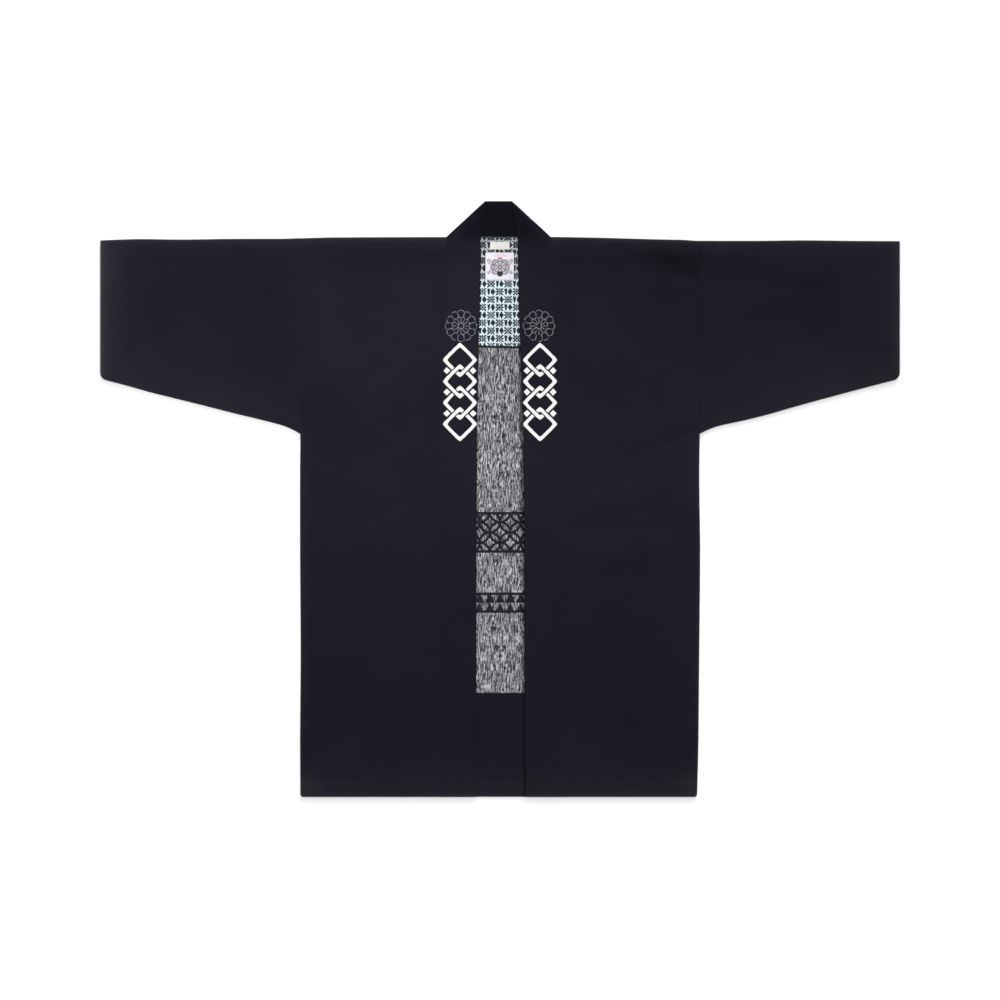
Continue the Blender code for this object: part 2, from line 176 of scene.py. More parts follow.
SIDE_EDGE = (
    Reach(HEM_UP, 311.9, 307.9),
    Reach(-390.0, 312.5, 310.0),
    Reach(-235.0, 311.6, 311.5),
    Reach(-80.0, 312.5, 312.8),
    Reach(40.0, 312.6, 311.5),
    Reach(UNDERARM_UP, SIDE, SIDE),
    Reach(410.0, SIDE, SIDE),
)
COLLAR_EDGE = (
    Reach(HEM_UP, 37.5, 39.0),
    Reach(-95.0, 36.7, 38.3),
    Reach(60.0, 36.0, 37.5),
    Reach(236.0, 34.4, 32.8),
    Reach(330.0, 33.2, 30.0),
)
NECK_STRETCH = (
    Reach(120.0, 0.0, 0.0),
    Reach(236.0, -0.8, -1.1),
    Reach(311.0, -2.4, -1.6),
    Reach(373.0, -0.5, 2.0),
    Reach(409.5, 2.8, 4.7),
    Reach(TOP_UP, 0.0, 0.0),
)


class TopEdge(NamedTuple):
    """The height of the shoulder and sleeve fold, at one place along X."""

    along: float
    up: float


TOP_EDGE = (
    TopEdge(-624.0, 404.4),
    TopEdge(-560.0, 406.5),
    TopEdge(-500.0, 405.8),
    TopEdge(-420.0, 406.8),
    TopEdge(-343.0, 407.0),
    TopEdge(-312.0, 407.9),
    TopEdge(-250.0, 409.2),
    TopEdge(-86.0, 409.7),
    TopEdge(81.0, 409.8),
    TopEdge(156.0, 408.6),
    TopEdge(250.0, 406.0),
    TopEdge(285.0, 405.3),
    TopEdge(312.0, 403.8),
    TopEdge(400.0, 403.7),
    TopEdge(468.0, 404.5),
    TopEdge(560.0, 403.6),
    TopEdge(624.0, 403.2),
)


class UnderarmBow(NamedTuple):
    """How far a sleeve's lower edge strays upward from its straight run, out from the armhole."""

    out: float
    left: float
    right: float


UNDERARM_BOW = (
    UnderarmBow(0.0, 0.0, 0.0),
    UnderarmBow(38.0, 1.0, -0.8),
    UnderarmBow(72.0, 0.8, -2.3),
    UnderarmBow(105.0, 0.1, -2.6),
    UnderarmBow(142.0, 0.0, -1.5),
    UnderarmBow(198.0, -0.5, -0.5),
    UnderarmBow(232.0, -0.9, -0.2),
    UnderarmBow(270.0, 0.0, 0.0),
)


class CollarRise(NamedTuple):
    """The height of the middle of the collar's thickness, down its front run."""

    up: float
    middle: float


COLLAR_RISE = (
    CollarRise(HEM_UP, 3.5),
    CollarRise(-425.0, 3.5),
    CollarRise(-340.0, 3.0),
    CollarRise(150.0, 3.0),
    CollarRise(215.0, 4.0),
    CollarRise(345.0, 4.1),
    CollarRise(STRAIGHT_FROM, 4.4),
)


class Crease(NamedTuple):
    """A soft ridge, or a trough where rise is below zero, from one place to another."""

    x0: float
    y0: float
    x1: float
    y1: float
    width: float
    rise: float


# The broad creases. The solids have them too, two of them a little to one side
CREASES = {
    "front_left": (
        Crease(-300.0, 52.0, -205.0, 18.0, 24.0, 1.7),
        Crease(-285.0, 335.0, -200.0, 352.0, 34.0, 1.3),
        Crease(-255.0, -120.0, -205.0, -330.0, 38.0, 1.4),
        Crease(-150.0, 60.0, -135.0, -90.0, 30.0, 1.0),
    ),
    "front_right": (
        Crease(205.0, 92.0, 300.0, 132.0, 19.0, 2.0),
        Crease(232.0, 52.0, 300.0, 84.0, 17.0, 1.6),
        Crease(238.0, 372.0, 308.0, 364.0, 16.0, -0.8),
        Crease(205.0, 338.0, 306.0, 322.0, 26.0, 1.7),
        Crease(118.0, -12.0, 262.0, 22.0, 20.0, 1.6),
        Crease(140.0, -83.0, 246.0, -79.0, 21.0, 2.0),
        Crease(232.0, -140.0, 182.0, -330.0, 36.0, 1.2),
    ),
    "sleeve_left": (
        Crease(-600.0, 330.0, -440.0, 352.0, 30.0, 0.8),
        Crease(-470.0, 232.0, -340.0, 205.0, 28.0, 0.9),
    ),
    "sleeve_right": (
        Crease(330.0, 350.0, 560.0, 316.0, 17.0, -1.0),
        Crease(345.0, 300.0, 470.0, 322.0, 26.0, 0.8),
        Crease(350.0, 165.0, 480.0, 215.0, 24.0, 0.8),
    ),
}


# Finer ones, which the solids are too coarse for
FINE_CREASES = {
    "front_left": (
        Crease(-166.0, 398.0, -104.0, 388.0, 7.0, 0.9),
        Crease(-164.0, 386.0, -104.0, 374.0, 8.0, -0.8),
        Crease(-219.0, -95.0, -216.0, -314.0, 5.0, 0.5),
        Crease(-226.0, -120.0, -224.0, -300.0, 7.0, -0.35),
        Crease(-300.0, 70.0, -238.0, 40.0, 8.0, -0.7),
        Crease(-296.0, 22.0, -214.0, -8.0, 9.0, -0.5),
        Crease(-280.0, 180.0, -190.0, 236.0, 12.0, 0.5),
        Crease(-262.0, 150.0, -176.0, 200.0, 10.0, -0.45),
        Crease(-130.0, -180.0, -118.0, -372.0, 12.0, 0.4),
    ),
    "front_right": (
        Crease(214.0, 66.0, 300.0, 108.0, 7.5, -1.3),
        Crease(72.0, -54.0, 146.0, -48.0, 11.0, -0.7),
        Crease(146.0, -48.0, 262.0, -42.0, 11.0, -1.1),
        Crease(262.0, -42.0, 299.0, -22.0, 10.0, -0.8),
        Crease(160.0, -122.0, 256.0, -126.0, 14.0, -0.8),
        Crease(218.0, 392.0, 268.0, 384.0, 10.0, 1.5),
        Crease(268.0, 384.0, 314.0, 376.0, 10.0, 1.8),
        Crease(222.0, 364.0, 314.0, 352.0, 15.0, -1.6),
        Crease(236.0, 334.0, 308.0, 326.0, 9.0, 0.6),
        Crease(244.0, 128.0, 304.0, 164.0, 9.0, -0.6),
        Crease(120.0, 356.0, 210.0, 330.0, 12.0, 0.5),
        Crease(206.0, -230.0, 196.0, -392.0, 9.0, 0.45),
        Crease(254.0, -170.0, 232.0, -330.0, 10.0, -0.45),
    ),
    "sleeve_left": (
        Crease(-326.0, 298.0, -327.0, 236.0, 7.0, -1.6),
        Crease(-325.0, 358.0, -388.0, 315.0, 10.0, 1.5),
        Crease(-560.0, 392.0, -430.0, 380.0, 9.0, 0.4),
        Crease(-610.0, 236.0, -500.0, 262.0, 10.0, -0.5),
        Crease(-436.0, 283.0, -362.0, 284.0, 7.0, 0.9),
        Crease(-380.0, 176.0, -330.0, 146.0, 9.0, 0.5),
        Crease(-604.0, 300.0, -540.0, 296.0, 12.0, 0.4),
    ),
    "sleeve_right": (
        Crease(310.0, 383.0, 385.0, 381.0, 11.0, 1.6),
        Crease(396.0, 378.0, 505.0, 342.0, 11.0, 0.9),
        Crease(310.0, 346.0, 400.0, 342.0, 17.0, -1.3),
        Crease(412.0, 340.0, 480.0, 326.0, 15.0, -0.5),
        Crease(316.0, 248.0, 350.0, 252.0, 13.0, 0.9),
        Crease(350.0, 258.0, 440.0, 262.0, 9.0, 0.5),
        Crease(340.0, 140.0, 430.0, 182.0, 9.0, -0.6),
        Crease(520.0, 236.0, 606.0, 250.0, 11.0, 0.5),
    ),
}


class Label(NamedTuple):
    """A label's place on the facing, the same as its solid's."""

    name: str
    x0: float
    x1: float
    y0: float
    y1: float


def place_label(node):
    low, high = solid_box(node)
    return Label(node, low.x, high.x, low.y, high.y)


SMALL_LABEL = place_label("label_small")
LARGE_LABEL = place_label("label_large")


# ---------------------------------------------------------------- the form of the cloth


def mix(a, b, share):
    return a + (b - a) * share


def ease(share):
    """0 to 1 with no jolt at either end."""
    share = np.clip(share, 0.0, 1.0)
    return share * share * (3 - 2 * share)


def round_edge(distance, radius):
    """0 at an edge, rising along a quarter circle to 1 at the radius."""
    share = np.clip(distance / radius, 0.0, 1.0)
    return np.sqrt(1 - (1 - share) ** 2)


def on_curve(table, place, column):
    """The column's value between the table's rows, on a smooth curve that never overshoots."""
    places = np.array([row[0] for row in table])
    values = np.array([getattr(row, column) for row in table])
    rises = np.diff(values) / np.diff(places)
    slopes = [rises[0]]
    slopes += [2 * a * b / (a + b) if a * b > 0 else 0.0 for a, b in zip(rises, rises[1:])]
    slopes = np.array(slopes + [rises[-1]])
    place = np.clip(place, places[0], places[-1])
    row = np.clip(np.searchsorted(places, place, side="right") - 1, 0, len(places) - 2)
    span = places[row + 1] - places[row]
    t = (place - places[row]) / span
    return (
        values[row] * (1 + 2 * t) * (1 - t) ** 2
        + slopes[row] * span * t * (1 - t) ** 2
        + values[row + 1] * t * t * (3 - 2 * t)
        + slopes[row + 1] * span * t * t * (t - 1)
    )


def spread(start, end, near_start=(), near_end=(), spacing=FINE):
    """Values from start to end, evenly spaced but for the stated distances from either end."""
    low = start + (max(near_start) if near_start else 0.0)
    high = end - (max(near_end) if near_end else 0.0)
    count = max(1, round((high - low) / spacing))
    values = [start + near for near in near_start] + list(np.linspace(low, high, count + 1))
    values += [end - near for near in near_end]
    return np.unique(np.round(values, 6))


def rolled_off(distance, depth, radius):
    """How far a face has rolled down at its edge."""
    return depth * (1 - round_edge(distance, radius))


def falling(distance, full, gone):
    """1 up to one distance and 0 from another, with no jolt at either."""
    return ease((gone - distance) / (gone - full))


def creased(creases, x, y):
    """How far a piece's creases lift it."""
    lift = np.zeros(np.broadcast(x, y).shape)
    for crease in creases:
        run_x, run_y = crease.x1 - crease.x0, crease.y1 - crease.y0
        share = ((x - crease.x0) * run_x + (y - crease.y0) * run_y) / (run_x**2 + run_y**2)
        share = np.clip(share, 0.0, 1.0)
        off = np.hypot(x - crease.x0 - share * run_x, y - crease.y0 - share * run_y) / crease.width
        lift += crease.rise * np.exp(-off * off)
    return lift


def uneven(x, y):
    """The slight unevenness of cloth that has been smoothed out by hand."""
    long = np.sin(x / 61 + 1.4 * np.sin(y / 83)) * np.sin(y / 52 + 0.9 * np.sin(x / 71) + 0.7)
    short = np.sin(x / 23 + y / 37 + 1.2 * np.sin(y / 29)) * np.sin(y / 19 - x / 47)
    return 0.2 * long + 0.07 * short


def ruffle(distance, along):
    """The ripple beside a row of stitches, at a distance from it and a place along it."""
    wobble = along + 3.0 * np.sin(along / 31.0)
    near = PUCKER * np.exp(-((distance / PUCKER_REACH) ** 2))
    return near * np.sin(2 * math.pi * wobble / PUCKER_PITCH)


def side_edge(hand, up):
    """The side seam's distance from x = 0, drawn in round the corner of the hem."""
    into_corner = np.clip(HEM_CORNER - (up - HEM_UP), 0.0, HEM_CORNER)
    drawn_in = HEM_CORNER - np.sqrt(HEM_CORNER**2 - into_corner**2)
    return on_curve(SIDE_EDGE, up, hand.name) - drawn_in


def cloth_edge(hand, up):
    """The same, reaching into the armhole's seam above the underarm."""
    return side_edge(hand, up) + ARMHOLE_CLOSE * ease((up - UNDERARM_UP) / 6.0)


def neck_corner(hand):
    """The outer end of the collar's crease, from x = 0."""
    return NECK_HALF + hand.way * NECK_SHIFT


def even_edge(hand, up):
    """The distance from x = 0 to the free edge of a strip of even width, before it turns over."""
    crease_top = neck_corner(hand) - CREASE_RUN
    straight = crease_top + (TOP_UP - np.maximum(up, STRAIGHT_FROM)) * math.tan(LEAN)
    straight_start = crease_top + (TOP_UP - STRAIGHT_FROM) * math.tan(LEAN)
    start = Reach(STRAIGHT_FROM, straight_start, straight_start)
    return np.where(up >= STRAIGHT_FROM, straight, on_curve(COLLAR_EDGE + (start,), up, hand.name))


def collar_free(hand, up):
    """The distance from x = 0 to the collar's edge at the opening, before the strip turns over."""
    return even_edge(hand, up) + on_curve(NECK_STRETCH, up, hand.name)


def collar_seam(hand, up):
    """The distance from x = 0 to the collar's seam with the front, before the strip turns over."""
    lean = LEAN * ease((up - COLLAR_EDGE[-1].up) / (STRAIGHT_FROM - COLLAR_EDGE[-1].up))
    return even_edge(hand, up) + COLLAR_WIDTH / np.cos(lean)


# ---------------------------------------------------------------- meshes


def shell(name, finish, outer, inner, tube=False, **tones):
    """A wall of cloth between two grids of points, one for each face, closed along its rims.

    A tube's columns run round it and meet. tones are attributes for the finish, a value a point."""
    rows, columns = outer.shape[:2]
    count = rows * columns
    index = np.arange(count).reshape(rows, columns)
    after = np.roll(index, -1, axis=1) if tube else index[:, 1:]
    here = index if tube else index[:, :-1]
    quads = np.stack([here[:-1], after[:-1], after[1:], here[1:]], axis=-1).reshape(-1, 4)
    rims = [(here[0], after[0]), (after[-1], here[-1])]
    if not tube:
        rims += [(index[1:, 0], index[:-1, 0]), (index[:-1, -1], index[1:, -1])]
    faces = [quads, quads[:, ::-1] + count]
    faces += [np.stack([b, a, a + count, b + count], axis=-1).reshape(-1, 4) for a, b in rims]
    points = np.concatenate([outer.reshape(-1, 3), inner.reshape(-1, 3)]) * MM
    mesh = bpy.data.meshes.new(name)
    mesh.from_pydata(points.tolist(), [], np.concatenate(faces).tolist())
    for tone, values in tones.items():
        values = np.tile(values.reshape(-1), 2).astype(np.float32)
        mesh.attributes.new(tone, "FLOAT", "POINT").data.foreach_set("value", values)
    return dress(name, mesh, finish)


def layer(name, finish, x, y, high, low, **tones):
    """A wall of cloth that lies between two heights."""
    return shell(name, finish, np.stack([x, y, high], -1), np.stack([x, y, low], -1), **tones)


def dress(name, mesh, finish):
    """Turns a mesh's faces outward, shades it smooth, gives it its finish and puts it in the scene."""
    cloth = bmesh.new()
    cloth.from_mesh(mesh)
    bmesh.ops.recalc_face_normals(cloth, faces=cloth.faces)
    cloth.to_mesh(mesh)
    cloth.free()
    mesh.shade_smooth()
    mesh.set_sharp_from_angle(angle=math.radians(50))
    mesh.materials.append(finish)
    piece = bpy.data.objects.new(name, mesh)
    bpy.context.scene.collection.objects.link(piece)
    return piece


class StitchRing(NamedTuple):
    """One ring of a stitch: its place in stitch lengths, its rise and girth in half threads."""

    along: float
    rise: float
    girth: float


STITCH_RINGS = (
    StitchRing(-0.5, -1.1, 0.35),
    StitchRing(-0.34, -0.2, 1.0),
    StitchRing(0.0, 0.0, 1.1),
    StitchRing(0.34, -0.2, 1.0),
    StitchRing(0.5, -1.1, 0.35),
)


def sew(name, finish, *rows):
    """Rows of stitches as one piece. A row is a line of points on the cloth, close together."""
    around = np.radians([45, 135, 225, 315])
    points, faces = [], []
    for row in rows:
        lengths = np.linalg.norm(np.diff(row, axis=0), axis=1)
        walked = np.concatenate([[0.0], np.cumsum(lengths)])
        middles = np.arange(STITCH_PITCH / 2, walked[-1], STITCH_PITCH)
        ends = [np.stack([np.interp(middles + half, walked, row[:, i]) for i in range(3)], axis=1)
                for half in (-STITCH_LENGTH / 2, 0.0, STITCH_LENGTH / 2)]
        along = ends[2] - ends[0]
        along /= np.linalg.norm(along, axis=1, keepdims=True)
        aside = np.cross(along, (0.0, 0.0, 1.0))
        aside /= np.linalg.norm(aside, axis=1, keepdims=True)
        up = np.cross(aside, along)
        for middle, a, s, u in zip(ends[1], along, aside, up):
            first = len(points)
            for ring in STITCH_RINGS:
                core = middle + a * (ring.along * STITCH_LENGTH) + u * (ring.rise * STITCH_THICK)
                girth = ring.girth * STITCH_THICK
                points += [core + girth * (s * math.cos(t) + u * math.sin(t)) for t in around]
            last = first + 4 * (len(STITCH_RINGS) - 1)
            for low in range(first, last, 4):
                for k in range(4):
                    after = (k + 1) % 4
                    faces.append((low + k, low + after, low + 4 + after, low + 4 + k))
            faces.append((first + 3, first + 2, first + 1, first))
            faces.append((last, last + 1, last + 2, last + 3))
    mesh = bpy.data.meshes.new(name)
    mesh.from_pydata((np.array(points) * MM).tolist(), [], faces)
    return dress(name, mesh, finish)


# ---------------------------------------------------------------- finishes


class Value:
    """A number, a vector or a colour inside a finish. Arithmetic on numbers adds Math nodes."""

    def __init__(self, finish, socket):
        self.finish = finish
        self.socket = socket

    def math(self, operation, *others):
        return self.finish.node(
            "ShaderNodeMath", {"operation": operation}, dict(enumerate((self, *others)))
        )

    def __add__(self, other):
        return self.math("ADD", other)

    def __sub__(self, other):
        return self.math("SUBTRACT", other)

    def __rsub__(self, other):
        return self * -1.0 + other

    def __mul__(self, other):
        return self.math("MULTIPLY", other)

    def __truediv__(self, other):
        return self.math("DIVIDE", other)

    def __mod__(self, other):
        return self.math("FLOORED_MODULO", other)

    def __abs__(self):
        return self.math("ABSOLUTE")

    def __lt__(self, other):
        return self.math("LESS_THAN", other)

    def __gt__(self, other):
        return self.math("GREATER_THAN", other)

    def __and__(self, other):
        return self.math("MINIMUM", other)

    def __or__(self, other):
        return self.math("MAXIMUM", other)

    __radd__ = __add__
    __rmul__ = __mul__

    def floor(self):
        return self.math("FLOOR")

    def sine(self):
        return self.math("SINE")

    def cosine(self):
        return self.math("COSINE")

    def angle_to(self, other):
        """The angle whose height is this value and whose run is the other."""
        return self.math("ARCTAN2", other)

    def length_with(self, other):
        return (self * self + other * other).math("SQRT")

    def folded(self, period):
        """The distance to the nearest multiple of the period."""
        return self.math("PINGPONG", period / 2)

    def centred(self, period):
        """The signed distance to the nearest multiple of the period."""
        return self.math("WRAP", period / 2, -period / 2)

    def between(self, low, high):
        return (self > low) & (self < high)

    def risen(self, low, high):
        """0 up to low and 1 from high, with no jolt at either."""
        return self.finish.node(
            "ShaderNodeMapRange",
            {"interpolation_type": "SMOOTHSTEP"},
            {"Value": self, "From Min": low, "From Max": high},
        )


class Finish:
    """A material, built node by node."""

    def __init__(self, name, roughness, gloss, nap=0.0):
        self.material = bpy.data.materials.new(name)
        self.material.use_nodes = True
        self.tree = self.material.node_tree
        self.shader = self.tree.nodes["Principled BSDF"]
        self.shader.inputs["Roughness"].default_value = roughness
        self.shader.inputs["Specular IOR Level"].default_value = gloss
        self.shader.inputs["Sheen Weight"].default_value = nap
        self.shader.inputs["Sheen Roughness"].default_value = 0.6
        self.shader.inputs["Sheen Tint"].default_value = NAP_TINT
        place = self.node("ShaderNodeTexCoord", {}, {}, "Object")
        place = self.node("ShaderNodeVectorMath", {"operation": "SCALE"}, {0: place, "Scale": 1 / MM})
        split = self.node("ShaderNodeSeparateXYZ", {}, {0: place})
        self.x = split
        self.y = Value(self, split.socket.node.outputs["Y"])
        facing = self.node("ShaderNodeNewGeometry", {}, {}, "True Normal")
        facing = self.node("ShaderNodeSeparateXYZ", {}, {0: facing}, "Z")
        self.upper = facing > 0.3

    def node(self, kind, settings, inputs, output=0):
        """Adds a node: first its settings, then the values or links of its sockets."""
        node = self.tree.nodes.new(kind)
        for setting, value in settings.items():
            setattr(node, setting, value)
        for socket, value in inputs.items():
            if isinstance(value, Value):
                self.tree.links.new(value.socket, node.inputs[socket])
            else:
                node.inputs[socket].default_value = value
        return Value(self, node.outputs[output])

    def blend(self, under, over, share):
        """One colour laid over another. A colour is (red, green, blue, 1) or a link."""
        return self.node(
            "ShaderNodeMix", {"data_type": "RGBA"}, {0: share, 6: under, 7: over}, 2
        )

    def toned(self, colour, tone):
        """A colour made darker or lighter by a number."""
        grey = self.node("ShaderNodeCombineXYZ", {}, {"X": tone, "Y": tone, "Z": tone})
        return self.node(
            "ShaderNodeMix",
            {"data_type": "RGBA", "blend_type": "MULTIPLY", "clamp_result": False},
            {0: 1.0, 6: colour, 7: grey},
            2,
        )

    def speckle(self, x, y, size_x, size_y, detail=2.0):
        """Noise from 0 to 1 whose grains are of the given size."""
        place = self.node("ShaderNodeCombineXYZ", {}, {"X": x * (1 / size_x), "Y": y * (1 / size_y)})
        return self.node(
            "ShaderNodeTexNoise",
            {"noise_dimensions": "2D"},
            {"Vector": place, "Scale": 1.0, "Detail": detail},
        )

    def attribute(self, name):
        """What the mesh says at each of its points, from 0 to 1."""
        return self.node("ShaderNodeAttribute", {"attribute_name": name}, {}, "Fac")

    def paint(self, colour):
        self.tree.links.new(colour.socket, self.shader.inputs["Base Color"])

    def emboss(self, height, depth):
        """Raises the surface by up to depth millimetres where height is 1."""
        bump = self.node("ShaderNodeBump", {}, {"Distance": depth * MM, "Height": height})
        self.tree.links.new(bump.socket, self.shader.inputs["Normal"])


NAVY = (0.0094, 0.0090, 0.0137, 1.0)
NAVY_PALE = (0.046, 0.045, 0.051, 1.0)  # the paler navy along the edges, partly wear and partly painted glare
STREAK_WHITE = (0.44, 0.43, 0.465, 1.0)
STREAK_DARK = (0.014, 0.014, 0.018, 1.0)
NAP_TINT = (0.50, 0.47, 0.72, 1.0)
PRINT_WHITE = (0.65, 0.65, 0.64, 1.0)
PRINT_GREY = (0.215, 0.209, 0.227, 1.0)
FACING_GROUND = (0.54, 0.62, 0.67, 1.0)
# the facing's greyer ground in the painted shade near the neck
FACING_NECK = (0.50, 0.515, 0.535, 1.0)
FACING_INK = (0.0135, 0.0255, 0.0295, 1.0)
CREAM = (0.535, 0.53, 0.51, 1.0)
BEIGE = (0.61, 0.46, 0.38, 1.0)
LABEL_WHITE = (0.57, 0.55, 0.60, 1.0)
LABEL_ROSE = (0.68, 0.26, 0.34, 1.0)
LABEL_GREY = (0.036, 0.034, 0.04, 1.0)
LABEL_BLACK = (0.010, 0.010, 0.012, 1.0)
THREAD_NAVY = (0.0090, 0.0082, 0.0130, 1.0)
THREAD_WHITE = (0.62, 0.62, 0.64, 1.0)
FLOOR_WHITE = (0.80, 0.80, 0.80, 1.0)

THREAD_PITCH = 1.1  # of two threads of the cotton
WEAVE_DEPTH = 0.08
COTTON = {"roughness": 0.95, "gloss": 0.01, "nap": 0.03}


def weave(finish):
    """The height of plain weave, from 0 to 1: threads over and under in turn."""
    turn = 2 * math.pi / THREAD_PITCH
    return (finish.x * turn).sine() * (finish.y * turn).sine() * 0.5 + 0.5


def slubs(finish):
    """The streaky tone of cotton whose threads vary in thickness, about 1."""
    warp = finish.speckle(finish.x, finish.y, 1.3, 46.0)
    weft = finish.speckle(finish.x + 91.0, finish.y, 52.0, 1.5)
    cloud = finish.speckle(finish.x, finish.y, 120.0, 150.0)
    return 1.0 + (warp - 0.5) * 0.26 + (weft - 0.5) * 0.26 + (cloud - 0.5) * 0.5


class PaintedLight(NamedTuple):
    """How painted light and shade change the navy's tone over one stretch of the coat, from a soft start to
    a soft end.

    Each limit is a pair of places between which the change comes or goes, or None where it has none."""

    x_start: tuple
    x_end: tuple
    y_start: tuple
    y_end: tuple
    change: float


HEM_TONE = 0.80  # of the navy at the hem; the painted light and shade above is added to it
# Painted light and shade: lighter towards the top and the left, with painted shadows in the folds of the
# right shoulder and sleeves
PAINTED_LIGHT = (
    PaintedLight(None, None, (-310.0, -200.0), None, 0.09),  # the skirt
    PaintedLight(None, None, (-130.0, 20.0), None, 0.17),  # the waist and all above it
    PaintedLight(None, None, (40.0, 250.0), None, -0.04),  # the chest
    PaintedLight(None, None, (345.0, 395.0), None, -0.04),  # beside the shoulders' fold
    PaintedLight((20.0, 330.0), None, (90.0, 260.0), None, -0.13),  # the right chest and sleeve
    PaintedLight((-335.0, -305.0), (-70.0, 30.0), (120.0, 240.0), (335.0, 395.0), 0.13),  # the left chest
    PaintedLight((-190.0, -90.0), (-70.0, 30.0), (120.0, 240.0), (335.0, 395.0), 0.07),  # and near the collar
    PaintedLight(None, (-590.0, -440.0), None, (255.0, 305.0), 0.11),  # the left cuff's lower half
    PaintedLight((-470.0, -420.0), (-370.0, -330.0), (190.0, 240.0), None, -0.07),  # the left sleeve's middle
    PaintedLight((25.0, 120.0), (305.0, 325.0), (305.0, 375.0), None, -0.15),  # the right shoulder
    PaintedLight((200.0, 270.0), (305.0, 325.0), (305.0, 375.0), None, -0.11),  # and its end at the armhole
    PaintedLight((370.0, 460.0), (490.0, 560.0), (205.0, 265.0), (330.0, 365.0), -0.12),  # the right sleeve
)


def soft_span(place, start, end):
    """1 between a soft start and a soft end, either of which may be missing."""
    inside = 1.0 if start is None else place.risen(*start)
    return inside if end is None else inside - place.risen(*end)


def painted_light_tone(finish):
    """The navy's tone, about 1, with the painted light and shade of each stretch."""
    tone = HEM_TONE
    for fade in PAINTED_LIGHT:
        across = soft_span(finish.x, fade.x_start, fade.x_end)
        tone = across * soft_span(finish.y, fade.y_start, fade.y_end) * fade.change + tone
    return tone


def navy_ground(finish):
    """Navy cotton with painted light and shade, paler along its edges with wear and painted glare."""
    worn = finish.attribute("worn")
    patchy = finish.speckle(finish.x, finish.y, 6.0, 6.0)
    worn = worn * (0.7 + patchy * 0.6) & 1.0
    navy = finish.toned(NAVY, painted_light_tone(finish))
    return finish.toned(finish.blend(navy, NAVY_PALE, worn), slubs(finish) * 0.6 + 0.4)


def navy_cotton():
    """The cloth of the body and sleeves."""
    finish = Finish("navy_cotton", **COTTON)
    finish.paint(navy_ground(finish))
    finish.emboss(weave(finish), WEAVE_DEPTH)
    return finish.material


# The print inside the back
PRINT_TOP = 420.0
PRINT_END = -302.0
PRINT_SIDE = 190.0
CIRCLE_BAND = (-84.0, -20.0)
SCALE_BAND = (-178.0, -146.0)
BAND_EDGE = 4.2
CIRCLE_SIZE = 16.0
CIRCLE_LINE = 2.0
SCALE_SIZE = 16.0
BARE_LINE_AND_SHADOW = 2.6  # a dark line below the facing's edge: the print left bare there, and a painted shadow of the facing
UNDER_FACING = 6.0  # the print stops so far under the facing
COLLAR_SHADOW_FROM = 33.5  # from here the back lies in the right collar's painted shadow
COLLAR_SHADOW_TO = 38.5
COLLAR_SHADOW_DEPTH = 0.28
PRINT_SHADOW_REACH = 8.0  # how far the right collar's painted shadow reaches over the print, from the collar's edge
PRINT_SHADOW_SLANT = 0.0165  # the shadow's edge draws in so much a millimetre above the height on the next line
PRINT_SHADOW_SLANT_FROM = -95.0
PRINT_SHADOW_TONE = 0.25  # of the print in that painted shadow, at the collar's edge


def streaks(finish):
    """How white the brushed ground is: long thin upright strokes, crossed by shorter ones."""
    sway = finish.speckle(finish.x, finish.y, 30.0, 70.0) - 0.5
    x = finish.x + sway * 14.0
    long = finish.speckle(x, finish.y, 1.8, 15.0, detail=0.0)
    short = finish.speckle(x + 500.0, finish.y + 80.0, 1.6, 4.8, detail=0.0)
    patches = finish.speckle(x + 50.0, finish.y, 17.0, 34.0, detail=1.0)
    white = ((long * 0.55 + short * 0.45 - 0.27) * 2.17 | 0.0).math("POWER", 1.7)
    return white * (0.58 + patches * 0.80)


def circle_band(finish):
    """Linked circles, one of the old patterns, dark on the brushed ground."""
    x = finish.x.folded(2 * CIRCLE_SIZE)
    y = (finish.y - CIRCLE_BAND[0]).folded(2 * CIRCLE_SIZE)
    first = abs(x.length_with(y) - CIRCLE_SIZE)
    second = abs((x - CIRCLE_SIZE).length_with(y - CIRCLE_SIZE) - CIRCLE_SIZE)
    return (first & second) < CIRCLE_LINE


def scale_band(finish):
    """A row of dark triangles, like a fish's scales."""
    height = (finish.y - SCALE_BAND[0]) % SCALE_SIZE
    half_width = (SCALE_SIZE - height) * 0.5
    return finish.x.folded(SCALE_SIZE) < half_width


def banded(finish, band, motif):
    """A band's motif with a dark bar along its upper and lower edge."""
    low, high = band
    bars = finish.y.between(low, low + BAND_EDGE) | finish.y.between(high - BAND_EDGE, high)
    return (motif & finish.y.between(low, high)) | bars


